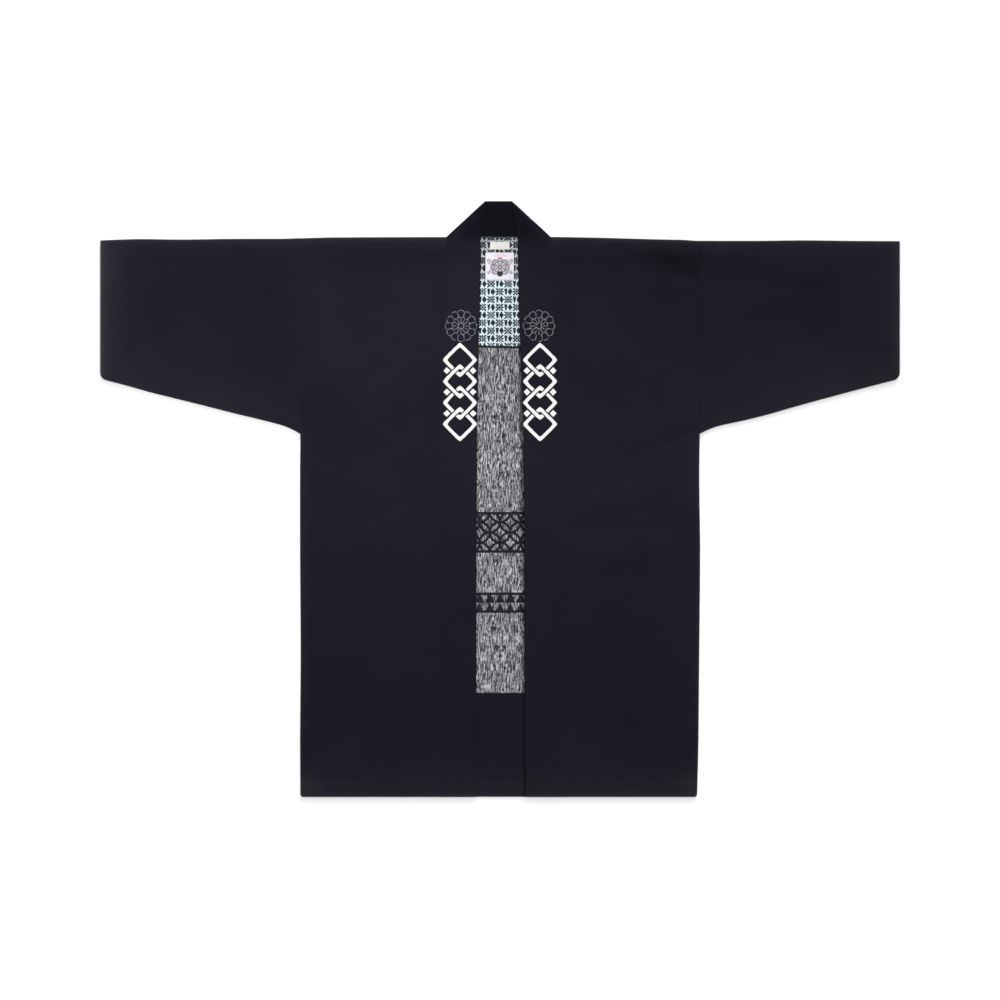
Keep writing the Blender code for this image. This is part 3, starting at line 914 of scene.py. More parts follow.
def printed_back():
    """The back panel: a brushed grey print on its inner side, with two dark bands."""
    finish = Finish("printed_back", **COTTON)
    dark = banded(finish, CIRCLE_BAND, circle_band(finish))
    dark = dark | banded(finish, SCALE_BAND, scale_band(finish))
    ragged = finish.speckle(finish.x, finish.y, 2.0, 3.0) * 1.6
    panel = (finish.y + ragged).between(PRINT_END, PRINT_TOP) & (abs(finish.x) < PRINT_SIDE)
    brushed = finish.blend(STREAK_DARK, STREAK_WHITE, streaks(finish))
    slope = (FACING_RIGHT_UP - FACING_LEFT_UP) / (2 * FACING_HALF)
    middle_up = (FACING_LEFT_UP + FACING_RIGHT_UP) / 2
    under_facing = finish.y - (finish.x - NECK_SHIFT) * slope - middle_up
    dark = dark | under_facing.between(-BARE_LINE_AND_SHADOW, UNDER_FACING)
    brushed = finish.blend(brushed, NAVY, dark * 0.97)
    # painted shadow of the right collar on the bare back and on the print
    collar_shadow = finish.x.risen(COLLAR_SHADOW_FROM, COLLAR_SHADOW_TO) & finish.upper
    ground = finish.toned(navy_ground(finish), 1.0 - collar_shadow * COLLAR_SHADOW_DEPTH)
    edge = COLLAR_SHADOW_TO - ((finish.y - PRINT_SHADOW_SLANT_FROM) | 0.0) * PRINT_SHADOW_SLANT
    print_shadowed = PRINT_SHADOW_TONE + (edge - finish.x).risen(0.0, PRINT_SHADOW_REACH) * (1.0 - PRINT_SHADOW_TONE)
    brushed = finish.toned(brushed, slubs(finish) * print_shadowed)
    finish.paint(finish.blend(ground, brushed, panel & finish.upper))
    finish.emboss(weave(finish), WEAVE_DEPTH)
    return finish.material


# The print on the collar
LINK_MIDDLE = 62.6  # from x = 0
LINK_FIRST_UP = 117.2
LINK_SPACING = 33.4
LINK_OUTER = 26.5
LINK_INNER = 19.5
LINK_GAP = 2.4
LINK_CORNER = 1.6
STUD_AT = 20.5
STUD = 5.4
FLOWER_MIDDLE_UP = 270.5
FLOWER_MIDDLE = 60.9
FLOWER_RADIUS = 24.5
FLOWER_LINE = 0.55  # half a line's width
PETALS = 12
PETAL_NOTCH = 0.84 * FLOWER_RADIUS  # the outer petals' rim between two petals
INNER_RADIUS = 0.58 * FLOWER_RADIUS
INNER_NOTCH = 0.46 * FLOWER_RADIUS
RIBS = (0.50 * FLOWER_RADIUS, 0.86 * FLOWER_RADIUS)
INNER_RIBS = (0.20 * FLOWER_RADIUS, 0.46 * FLOWER_RADIUS)
EYE_RADIUS = 0.17 * FLOWER_RADIUS
FLOWER_STRENGTH = 0.85
PAINTED_SHADE_DEPTH = 0.55  # how much of its brightness the collar loses where its shade is painted


def link_reach(x, y, first):
    """The distance from the middle of the nearest link of one chain, measured along its sides."""
    y = (y - first).centred(2 * LINK_SPACING)
    rounded_x = (x * x + LINK_CORNER**2).math("SQRT")
    rounded_y = (y * y + LINK_CORNER**2).math("SQRT")
    return rounded_x + rounded_y - LINK_CORNER


def linked_diamonds(finish):
    """Four linked diamonds down each side of the collar: each passes over the next on the left."""
    x = abs(finish.x) - LINK_MIDDLE
    brush = finish.speckle(finish.x, finish.y, 7.0, 7.0) - 0.5
    x = x + brush * 1.2
    y = finish.y - LINK_FIRST_UP + brush * 0.8
    links = []
    gaps = []
    for first in (0, 1):
        reach = link_reach(x, y, first * LINK_SPACING)
        there = y.between((first - 1) * LINK_SPACING + 4.0, (first + 3) * LINK_SPACING - 4.0)
        links.append(reach.between(LINK_INNER, LINK_OUTER) & there)
        gaps.append(reach.between(LINK_INNER - LINK_GAP, LINK_OUTER + LINK_GAP) & there)
    on_left = x < 0.0
    first_link = links[0] & (1.0 - (gaps[1] & on_left))
    second_link = links[1] & (1.0 - (gaps[0] & (1.0 - on_left)))
    beside = abs(abs(x) - STUD_AT) + abs((y - LINK_SPACING / 2).centred(LINK_SPACING))
    studs = (beside < STUD) & y.between(0.0, 3 * LINK_SPACING)
    return first_link | second_link | studs


def flower(finish):
    """A chrysanthemum in thin lines, one of the old crests, on each side of the collar."""
    x = abs(finish.x) - FLOWER_MIDDLE
    y = finish.y - FLOWER_MIDDLE_UP
    radius = x.length_with(y)
    angle = y.angle_to(x)
    fan = abs((angle * (PETALS / 2)).cosine())
    outer = PETAL_NOTCH + fan.math("SQRT") * (FLOWER_RADIUS - PETAL_NOTCH)
    fan_between = abs((angle * (PETALS / 2)).sine())
    inner = INNER_NOTCH + fan_between.math("SQRT") * (INNER_RADIUS - INNER_NOTCH)
    rim = abs(radius - outer) < FLOWER_LINE
    inner_rim = abs(radius - inner) < FLOWER_LINE
    rib_line = FLOWER_LINE * PETALS / 2
    ribs = (fan * radius < rib_line) & radius.between(*RIBS)
    inner_ribs = (fan_between * radius < rib_line) & radius.between(*INNER_RIBS)
    eye = abs(radius - EYE_RADIUS) < FLOWER_LINE
    return rim | inner_rim | ribs | inner_ribs | eye


def printed_collar():
    """The collar strip: navy cotton with its print in white and grey."""
    finish = Finish("printed_collar", roughness=0.93, gloss=0.01, nap=0.03)
    # painted light: the collar's navy is lighter towards the top
    ground = finish.toned(navy_ground(finish), 0.96 + finish.y.risen(-150.0, 150.0) * 0.08)
    rubbed = finish.speckle(finish.x, finish.y, 3.5, 3.5).risen(0.32, 0.5)
    flower_ink = flower(finish) * rubbed * FLOWER_STRENGTH
    colour = finish.blend(ground, PRINT_GREY, flower_ink & finish.upper)
    threads = finish.speckle(finish.x, finish.y, 0.9, 0.9)
    white = finish.toned(PRINT_WHITE, 0.96 + threads * 0.08)
    # painted shade beside and behind the neck, and a painted shadow line along the folded edge
    colour = finish.toned(colour, 1.0 - finish.attribute("unfaded") * PAINTED_SHADE_DEPTH)
    finish.paint(finish.blend(colour, white, linked_diamonds(finish) & finish.upper))
    finish.emboss(weave(finish), WEAVE_DEPTH)
    return finish.material


# The repeat on the neck facing: a diamond, a star and a tick in each row, every other row shifted
REPEAT_WIDTH = 26.8
ROW_HEIGHT = 12.2
REPEAT_X = -24.5
REPEAT_Y = 336.4
STAR_AT = 10.4
TICK_AT = 20.3
DIAMOND_WIDE = 3.8  # half its width, as the other sizes of the figures
DIAMOND_TALL = 6.1
STAR_WIDE = 6.2
STAR_TALL = 5.6
SLANT_RAY = 1.8
UPRIGHT_RAY = 1.0
LEVEL_RAY = 1.3
PIERCED = (2.2, 2.9)  # the gap round a star's heart
TICK_WIDE = 1.9
TICK_FLARE = 0.16
TICK_TALL = 4.7
WAVER_X = 2.2
WAVER_Y = 1.6
NECK_SHADE = (336.0, 358.0)  # where the neck's shade comes in
NECK_DARKENS = 0.17
RIGHT_SIDE = (0.0, 40.0)  # where that shade comes to be less
RIGHT_DARKENS_LESS = 0.12
COLLAR_SHADE = (398.0, 410.0)  # where the shade of the collar behind the neck comes in
COLLAR_DARKENS = 0.42
HEAVY_INK = 0.5


def facing_figures(finish, heavy):
    """The dark figures of the facing's repeat, with the wavering edges of a hand-cut stencil.

    heavy is how far they are printed more heavily, from 0 to 1."""
    waver = finish.speckle(finish.x, finish.y, 2.6, 2.6) - 0.5
    y = finish.y - REPEAT_Y
    row = (y / ROW_HEIGHT + 0.5).floor()
    y = y - row * ROW_HEIGHT + waver * WAVER_Y
    x = finish.x - REPEAT_X + row * (REPEAT_WIDTH / 2) + waver * WAVER_X
    tall = abs(y)
    diamond = abs(x.centred(REPEAT_WIDTH))
    figures = (diamond / DIAMOND_WIDE + tall / DIAMOND_TALL) < 1.0 + heavy * 0.14
    star = abs((x - STAR_AT).centred(REPEAT_WIDTH))
    rays = (abs(star - tall) < SLANT_RAY + heavy * 0.5) | (star < UPRIGHT_RAY + heavy * 0.4)
    rays = rays | (tall < LEVEL_RAY + heavy * 0.4)
    pierced = 1.0 - (star + tall).between(*PIERCED) * (1.0 - heavy)
    in_star = (star < STAR_WIDE + heavy * 0.4) & (tall < STAR_TALL + heavy * 0.3)
    figures = figures | (rays & pierced & in_star)
    tick = abs((x - TICK_AT).centred(REPEAT_WIDTH))
    in_tick = (tick < y * TICK_FLARE + TICK_WIDE + heavy * 0.4) & (tall < TICK_TALL + heavy * 0.4)
    return figures | in_tick


def facing_print():
    """The neck facing: pale blue cotton with a small dark repeat."""
    finish = Finish("facing_print", roughness=0.9, gloss=0.04)
    ink = finish.speckle(finish.x, finish.y, 2.5, 2.5).risen(0.18, 0.36)
    neck = finish.y.risen(*NECK_SHADE)
    ground = finish.blend(FACING_GROUND, FACING_NECK, neck)
    figures = facing_figures(finish, neck * HEAVY_INK)
    colour = finish.blend(ground, FACING_INK, figures * (0.93 + ink * 0.07))
    shade = neck * (NECK_DARKENS - finish.x.risen(*RIGHT_SIDE) * RIGHT_DARKENS_LESS)
    shade = shade + finish.y.risen(*COLLAR_SHADE) * COLLAR_DARKENS
    finish.paint(finish.toned(colour, slubs(finish) * (1.0 - shade)))
    finish.emboss(weave(finish), 0.12)
    return finish.material


def woven_tape(finish):
    """The height of a satin tape's fine ribs."""
    return (finish.y * (2 * math.pi / 0.9)).sine() * 0.5 + 0.5


SMALL_BAR_SPACING = 7.0
SMALL_BAR_WIDE = 2.4  # half its width, as the other sizes of the bars
SMALL_BARS_WIDE = 9.8
SMALL_BAR_TALL = 2.1


def small_label_tape():
    """A cream woven label with three plain beige bars where a size or a name would be."""
    finish = Finish("cream_label", roughness=0.66, gloss=0.3, nap=0.1)
    middle = (SMALL_LABEL.y0 + SMALL_LABEL.y1) / 2
    bars = (finish.x.folded(SMALL_BAR_SPACING) < SMALL_BAR_WIDE) & (abs(finish.x) < SMALL_BARS_WIDE)
    bars = bars & (abs(finish.y - middle) < SMALL_BAR_TALL)
    finish.paint(finish.toned(finish.blend(CREAM, BEIGE, bars * 0.32), slubs(finish)))
    finish.emboss(woven_tape(finish), 0.08)
    return finish.material


class Bar(NamedTuple):
    """A plain rose bar on the large label, in place of a line of text."""

    wide: float
    low: float
    high: float
    strength: float


class Leaf(NamedTuple):
    """An oval leaf beside the rosette: its middle, its turn in radians, and half its size."""

    x: float
    y: float
    turn: float
    length: float
    width: float


ROSE_BARS = (
    Bar(9.8, 378.5, 380.6, 0.62),
    Bar(7.2, 381.3, 383.0, 0.50),
)
LEAVES = (
    Leaf(14.8, 370.0, 0.75, 6.8, 3.6),
    Leaf(14.6, 355.8, -0.5, 5.8, 3.0),
)
ROSETTE_UP = 362.7
ROSETTE_RADIUS = 14.3
ROSETTE_PETALS = 8
PETAL_DEPTH = 3.2  # from a petal's tip in to the notch beside it
PETAL_LINE = 0.9  # half a line's width
RING_IN = 6.8  # the inner petals' notches, in from the rosette's radius
RING_DEPTH = 2.2
RING_LINE = 0.75
RIB_LINE = 2.2
HEART = (1.6, 3.0)
DOT_UP = 352.6
DOT_WIDE = 4.3
DOT_TALL = 3.3
DOT_CORNER = 6.9  # its corners are cut where width and height add up to this


def rosette(finish):
    """A round flower of eight double petals, in grey lines on a pale grey ground."""
    y = finish.y - ROSETTE_UP
    radius = finish.x.length_with(y)
    angle = y.angle_to(finish.x)
    fan = abs((angle * (ROSETTE_PETALS / 2)).cosine())
    edge = ROSETTE_RADIUS - PETAL_DEPTH + fan * PETAL_DEPTH
    outer = abs(radius - edge) < PETAL_LINE
    inner = abs(radius - (ROSETTE_RADIUS - RING_IN + fan * RING_DEPTH)) < RING_LINE
    ribs = (fan * radius < RIB_LINE) & radius.between(HEART[1], ROSETTE_RADIUS - HEART[1])
    return outer | inner | ribs | radius.between(*HEART) | ((radius < edge) * 0.42)


def leaf_pair(finish, leaf):
    """A leaf on each side of the rosette: its outline and midrib dark, the rest pale grey."""
    x = abs(finish.x) - leaf.x
    y = finish.y - leaf.y
    along = x * math.cos(leaf.turn) + y * math.sin(leaf.turn)
    aside = y * math.cos(leaf.turn) - x * math.sin(leaf.turn)
    reach = (along / leaf.length).length_with(aside / leaf.width)
    lines = (reach > 0.74) | (abs(aside) < 0.5)
    return (reach < 1.0) * (0.34 + lines * 0.36)


def large_label_tape():
    """A white satin label with two plain rose bars, a round flower with leaves and a dark dot."""
    finish = Finish("white_label", roughness=0.6, gloss=0.25, nap=0.1)
    aside = abs(finish.x)
    bars = 0.0
    for bar in ROSE_BARS:
        bars = ((aside < bar.wide) & finish.y.between(bar.low, bar.high)) * bar.strength | bars
    drawn = rosette(finish)
    for leaf in LEAVES:
        drawn = drawn | leaf_pair(finish, leaf)
    up = abs(finish.y - DOT_UP)
    dot = (aside < DOT_WIDE) & (up < DOT_TALL) & ((aside + up) < DOT_CORNER)
    uneven_ink = finish.speckle(finish.x, finish.y, 3.0, 3.0) * 0.7 + 0.55
    colour = finish.blend(LABEL_WHITE, LABEL_ROSE, bars)
    colour = finish.blend(colour, LABEL_GREY, drawn * uneven_ink & 1.0)
    colour = finish.blend(colour, LABEL_BLACK, dot)
    finish.paint(finish.toned(colour, slubs(finish)))
    finish.emboss(woven_tape(finish), 0.06)
    return finish.material


def sewing_thread(name, colour):
    """Twisted cotton thread."""
    finish = Finish(name, roughness=0.8, gloss=0.04)
    twist = ((finish.x + finish.y) * (2 * math.pi / 0.5)).sine() * 0.5 + 0.5
    finish.paint(finish.toned(colour, 0.8 + twist * 0.4))
    finish.emboss(twist, 0.05)
    return finish.material


# ---------------------------------------------------------------- the pieces


def hem_rows(height):
    """Distances up from the hem, close together round its fold, its stitching and its step."""
    hem = (0.0, 0.15, 0.45, 1.0, 2.0, 3.2, HEM_CORNER, 9.0, 13.5)
    hem += (16.6, HEM_STITCH - 0.5, HEM_STITCH, HEM_STITCH + 0.5, 19.3)
    hem += (HEM_DEPTH, HEM_DEPTH + HEM_STEP / 2, HEM_DEPTH + HEM_STEP)
    shoulder = (0.0, 0.15, 0.5, 1.1, 2.2)
    return spread(0.0, height, hem, shoulder)


def groove(distance, width, depth):
    """The dent that tight stitches or a seam leave along a line."""
    return -depth * np.exp(-((distance / width) ** 2))


def allowance_ridge(from_seam, roll):
    """1 where a pressed seam allowance lifts the cloth, once it has rolled out of the seam."""
    return ease(from_seam / roll) * (1 - ease((from_seam - ALLOWANCE) / ALLOWANCE_STEP))


def hem_wall(from_hem):
    """The cloth's thickness in from a hem or a cuff, where it is folded under twice."""
    return mix(HEM_THICK, WALL, ease((from_hem - HEM_DEPTH) / HEM_STEP))


def fold_hem(high, low, from_hem):
    """The upper and lower face, brought together round the hem's folded edge."""
    folded = 1 - round_edge(from_hem, HEM_THICK / 2)
    middle = (high + low) / 2
    return mix(high, middle + THIN / 2, folded), mix(low, middle - THIN / 2, folded)


def front_place(hand, across, from_hem):
    """The x and y of a front's points, from its share across and its distance up from the hem."""
    nominal = HEM_UP + from_hem
    inner = collar_seam(hand, nominal) + SEAM_CLOSE
    x = hand.way * mix(cloth_edge(hand, nominal), inner, across)
    row = from_hem / (NECK_CORNER_UP - HEM_UP)
    return x, mix(HEM_UP, on_curve(TOP_EDGE, x, "up"), row)


def front_faces(hand, x, y):
    """The heights of a front's upper and lower face."""
    name = "front_" + hand.name
    from_side = side_edge(hand, np.maximum(y, HEM_UP + HEM_CORNER)) - abs(x)
    from_shoulder = on_curve(TOP_EDGE, x, "up") - y
    from_collar = abs(x) - collar_seam(hand, y)
    from_hem = y - HEM_UP
    open_armhole = ease((y - UNDERARM_UP + LIFT_REACH) / LIFT_REACH)
    from_seam = mix(ease(from_side / LIFT_REACH), 1.0, open_armhole)
    inside = np.minimum(from_seam, ease(from_shoulder / LIFT_REACH))
    from_edges = np.minimum(np.minimum(from_side, from_collar), from_hem)
    raised = ease(from_edges / LIFT_REACH) * (creased(CREASES[name], x, y) + uneven(x, y))
    raised += ease(from_edges / FINE_REACH) * creased(FINE_CREASES[name], x, y)
    lift = inside * (LIFT + np.maximum(raised, -LIFT))
    low = LAYER_UP + lift
    in_hem = 1 - ease((from_hem - HEM_DEPTH) / HEM_STEP)
    low = mix(low, np.maximum(low, HEM_THICK + SEAM), in_hem)
    high = LAYER_UP + lift + SOLID_WALL
    high = mix(high, np.maximum(high, low + HEM_THICK), 1 - ease((from_hem - HEM_DEPTH) / HEM_FADE))
    at_collar = on_curve(COLLAR_RISE, y, "middle") + COLLAR_THICK / 2 - COLLAR_SINK
    beside = np.exp(-((from_collar / COLLAR_BULK) ** 2)) * ease(from_shoulder / 12.0)
    high = mix(high, np.maximum(high, at_collar), beside)
    high += ruffle(from_hem - HEM_STITCH, x) * ease(from_side / PUCKER_STOP)
    high += groove(from_hem - HEM_STITCH, width=0.8, depth=0.12)
    allowance = allowance_ridge(from_side, roll=2.0) * (1 - open_armhole)
    high += ALLOWANCE_RISE * allowance * ease((from_hem - HEM_DEPTH) / 4.0)
    low = np.minimum(low, high - hem_wall(from_hem))
    low = np.maximum(low, LAYER_UP)
    meet = 1 - open_armhole
    high -= (high - LAYER_UP - MEET_GAP) * (1 - round_edge(from_side, SEAM_ROLL)) * meet
    high -= (high - LAYER_UP - MEET_GAP) * (1 - round_edge(from_shoulder, SEAM_ROLL))
    high -= rolled_off(from_side, depth=0.2, radius=0.6) * open_armhole
    high -= rolled_off(from_collar - SEAM_CLOSE, depth=0.15, radius=0.5)
    high, low = fold_hem(high, low, from_hem)
    return np.maximum(high, low + THIN), low


def from_side_seam(hand, x, y):
    """The distance to the side seam, which ends at the underarm."""
    return side_edge(hand, y) - abs(x) + np.maximum(y - UNDERARM_UP, 0.0)


# How strong the paling along an edge is, partly wear and partly painted glare, and how far it reaches into
# the cloth
SIDE_WEAR_AND_GLARE = (0.24, 8.0)
HEM_WEAR_AND_GLARE = (0.40, 28.0)
FOLD_WEAR_AND_GLARE = (0.55, 9.0)
CORNER_WEAR_AND_GLARE = 0.2
CORNER_REACH = 40.0
PALEST_LINE = 1.4  # the palest line, on the very edge
PALING_SPREAD = 0.30  # of the paling, beyond that line


def edge_wear_and_glare(*edges):
    """How pale a point is: the most that any edge gives. Each edge is distance, strength and reach."""
    worn = 0.0
    for distance, strength, reach in edges:
        inward = np.maximum(distance, 0.0)
        near = np.exp(-inward / PALEST_LINE) + PALING_SPREAD * np.exp(-inward / reach)
        worn = np.maximum(worn, strength * near)
    return worn


def cut_front(hand, finish):
    """A front panel, from the side seam to the collar's seam and from the hem to the shoulder."""
    width = SIDE - neck_corner(hand)
    side = (0.0, 0.2, 0.7, 1.5, 2.4, 4.5, 6.5, ALLOWANCE, 11.0)
    collar = (0.0, 0.3, 0.9, 2.0)
    across = spread(0.0, width, side, collar) / width
    across, from_hem = np.meshgrid(across, hem_rows(NECK_CORNER_UP - HEM_UP))
    x, y = front_place(hand, across, from_hem)
    high, low = front_faces(hand, x, y)
    worn = edge_wear_and_glare(
        (from_side_seam(hand, x, y), *SIDE_WEAR_AND_GLARE),
        (y - HEM_UP, *HEM_WEAR_AND_GLARE),
        (on_curve(TOP_EDGE, x, "up") - y, *FOLD_WEAR_AND_GLARE),
    )
    from_corner = np.hypot(side_edge(hand, y) - abs(x), y - HEM_UP)
    worn = np.maximum(worn, CORNER_WEAR_AND_GLARE * np.exp(-((from_corner / CORNER_REACH) ** 2)))
    return layer(f"front_{hand.name}_cloth", finish, x, y, high, low, worn=worn)


def back_top(y):
    """The height of the back's inner face, with the hem turned up on it."""
    from_hem = y - HEM_UP
    rise = (HEM_THICK - SOLID_WALL) * (1 - ease((from_hem - HEM_DEPTH + HEM_STEP) / HEM_FADE))
    high = SOLID_WALL + rise + groove(from_hem - HEM_STITCH, width=0.8, depth=0.2)
    return high + groove(from_hem - HEM_EDGE, width=0.5, depth=0.1)


def cut_back(finish):
    """The back panel, whose outer face is flat where the coat rests."""
    side = (0.0, 0.2, 0.7, 1.5, 2.4, 4.5, ALLOWANCE)
    across = spread(0.0, 2 * SIDE, side, side, spacing=6.0) / (2 * SIDE)
    across, from_hem = np.meshgrid(across, hem_rows(NECK_CORNER_UP - HEM_UP))
    nominal = HEM_UP + from_hem
    x = mix(-cloth_edge(LEFT, nominal), cloth_edge(RIGHT, nominal), across)
    shoulder = on_curve(TOP_EDGE, x, "up")
    y = mix(HEM_UP, shoulder, from_hem / (NECK_CORNER_UP - HEM_UP))
    high = back_top(y)
    low = np.zeros_like(x)
    reach = np.where(x < 0, side_edge(LEFT, nominal), side_edge(RIGHT, nominal))
    from_side = reach - abs(x)
    meet = 1 - ease((y - UNDERARM_UP + LIFT_REACH) / LIFT_REACH)
    low += (high - MEET_GAP) * (1 - round_edge(from_side, SEAM_ROLL)) * meet
    beside_neck = 1 - ease((NECK_OPEN - abs(x)) / 12.0)
    low += (high - MEET_GAP - low) * (1 - round_edge(shoulder - y, SEAM_ROLL)) * beside_neck
    high, low = fold_hem(high, low, from_hem)
    worn = edge_wear_and_glare(
        (from_side + np.maximum(y - UNDERARM_UP, 0.0), *SIDE_WEAR_AND_GLARE),
        (from_hem, *HEM_WEAR_AND_GLARE),
        (shoulder - y, *FOLD_WEAR_AND_GLARE),
    )
    return layer("back_cloth", finish, x, y, high, low, worn=worn)


def sleeve_low(hand, out):
    """The height of a sleeve's lower edge, at a distance out from the armhole."""
    dip = UNDERARM_DIP * np.maximum(0.0, 1.0 - out / UNDERARM_CURVE) ** 2
    into_corner = np.clip(out - (SLEEVE_LENGTH - CUFF_CORNER), 0.0, CUFF_CORNER)
    corner = CUFF_CORNER - np.sqrt(CUFF_CORNER**2 - into_corner**2)
    return UNDERARM_LINE + SLEEVE_SLOPE * out - dip + corner + on_curve(UNDERARM_BOW, out, hand.name)


SEAM_TURN = 3.5  # where the lower edge's seam runs, in the turns of sleeve_point
SEAM_PINCH = 0.4  # how far that seam draws the cloth in
SEAM_PINCH_WIDE = 0.13  # in those turns
DEEPEST = -0.6  # how low a trough may press the upper layer


def sleeve_point(hand, turn, out, inset):
    """A point on a sleeve's wall: turn runs up its lower layer, over the fold and down its upper one."""
    x = hand.way * (SIDE + SEAM + out - ARMHOLE_CLOSE * (1 - ease(out / 3.0)))
    edge = mix(SLEEVE_EDGE, CUFF_EDGE, ease((out - SLEEVE_LENGTH + HEM_DEPTH + LIFT_REACH) / LIFT_REACH))
    low = sleeve_low(hand, out) + edge
    high = on_curve(TOP_EDGE, x, "up") - edge
    seam = np.exp(-(((turn - SEAM_TURN) / SEAM_PINCH_WIDE) ** 2)) * SEAM_PINCH
    radius = edge - inset - seam
    fold = (turn - 1) * math.pi
    round_lower = (turn - 3) * math.pi
    up_y = mix(low, high, np.clip(turn, 0, 1))
    down_y = mix(high, low, np.clip(turn - 2, 0, 1))
    from_cuff = SLEEVE_LENGTH - out
    near_edge = ease(np.minimum(high - down_y, down_y - low) / LIFT_REACH)
    near_end = ease(out / LIFT_REACH) * ease(from_cuff / LIFT_REACH)
    name = "sleeve_" + hand.name
    puff = near_end * (SLEEVE_PUFF + creased(CREASES[name], x, down_y) + uneven(x, down_y))
    puff += ease(np.minimum(out, from_cuff) / FINE_REACH) * creased(FINE_CREASES[name], x, down_y)
    puff = near_edge * np.maximum(puff, DEEPEST * ease(out / FINE_REACH))
    dent = groove(from_cuff - HEM_STITCH, width=0.8, depth=0.18)
    puff += near_edge * (ruffle(from_cuff - HEM_STITCH, down_y) + dent)
    puff += near_edge * ALLOWANCE_RISE * allowance_ridge(out, roll=1.5)
    layers = [turn <= 1, turn <= 2, turn <= 3]
    y = np.select(layers, [up_y, high + radius * np.sin(fold), down_y], low - radius * np.sin(round_lower))
    z = np.select(
        layers,
        [inset, edge - radius * np.cos(fold), edge + edge - inset + puff],
        edge + radius * np.cos(round_lower),
    )
    return np.stack([x, y, z], -1)


# The left cuff is paler than the right: wear, and more painted glare
CUFF_WEAR_AND_GLARE = {"left": 1.3, "right": 0.55}
CUFF_REACH = 20.0
LOW_SEAM_WEAR_AND_GLARE = (0.14, 8.0)
LOW_EDGE_WEAR_AND_GLARE = (0.20, 0.49)  # at the armhole, and from LOW_EDGE_FULL out to the cuff
LOW_EDGE_FULL = 140.0
LOW_EDGE_REACH = 50.0
LOW_EDGE_OUT = 6.0  # this paling starts so far outside the cloth, which keeps its palest line off it


def cut_sleeve(hand, finish):
    """A sleeve: one piece, folded along its top and seamed along its lower edge, open at both ends."""
    layer_width = NECK_CORNER_UP - UNDERARM_UP
    near = tuple(distance / layer_width for distance in (0.0, 2.0, 6.0, 13.0))
    flat = spread(0.0, 1.0, near, near, spacing=FINE / layer_width)
    bend = np.linspace(0.0, 1.0, 11)[1:-1]
    turns = np.concatenate([flat, 1 + bend, 2 + flat, 3 + bend])
    armhole = (0.0, 0.3, 0.8, 1.6, 3.2, 6.0, ALLOWANCE, 11.5)
    cuff = (0.0, 0.15, 0.45, 1.0, 2.0, 3.4, 5.2, 7.2, CUFF_CORNER, 13.0)
    cuff += (16.4, HEM_STITCH - 0.5, HEM_STITCH, HEM_STITCH + 0.5, HEM_DEPTH, HEM_DEPTH + 1.5)
    outs = spread(0.0, SLEEVE_LENGTH, armhole, cuff)
    turn, out = np.meshgrid(turns, outs)
    from_cuff = SLEEVE_LENGTH - out
    thick = hem_wall(from_cuff)
    rounding = rolled_off(out, depth=0.4, radius=0.8)
    rounding += rolled_off(from_cuff, depth=thick / 2, radius=HEM_THICK / 2)
    rounding = np.minimum(rounding, thick / 2 - THIN / 2)
    outer = sleeve_point(hand, turn, out, rounding)
    inner = sleeve_point(hand, turn, out, thick - rounding)
    from_top = on_curve(TOP_EDGE, outer[..., 0], "up") - outer[..., 1]
    from_low = outer[..., 1] - sleeve_low(hand, out)
    low_wear_and_glare = mix(*LOW_EDGE_WEAR_AND_GLARE, ease(out / LOW_EDGE_FULL))
    worn = edge_wear_and_glare(
        (from_cuff, CUFF_WEAR_AND_GLARE[hand.name], CUFF_REACH),
        (from_top, *FOLD_WEAR_AND_GLARE),
        (from_low, *LOW_SEAM_WEAR_AND_GLARE),
        (from_low + LOW_EDGE_OUT, low_wear_and_glare, LOW_EDGE_REACH),
    )
    return shell(f"sleeve_{hand.name}_cloth", finish, outer, inner, tube=True, worn=worn)


def past_crease(hand, x, y):
    """How far a point of the flat strip lies past the crease, square to it."""
    return (x - neck_corner(hand)) * math.sin(CREASE_ANGLE) + (y - NECK_CORNER_UP) * math.cos(CREASE_ANGLE)


def turn_over(hand, x, y, middle):
    """Lays a point of the flat strip: what lies past the crease turns under and inward."""
    normal_x, normal_y = math.sin(CREASE_ANGLE), math.cos(CREASE_ANGLE)
    past = past_crease(hand, x, y)
    round_turn = past - TURN_START
    angle = np.clip(round_turn / TURN_RADIUS, 0.0, math.pi)
    turning = TURN_START + TURN_RADIUS * np.sin(angle)
    beyond = TURN_START - (round_turn - TURN_LENGTH)
    laid = np.where(round_turn <= 0, past, np.where(round_turn < TURN_LENGTH, turning, beyond))
    turning_height = COLLAR_LOW + TURN_RADIUS * (1 + np.cos(angle))
    height = np.where(round_turn <= 0, middle, turning_height)
    return np.stack([hand.way * (x + (laid - past) * normal_x), y + (laid - past) * normal_y, height], -1)


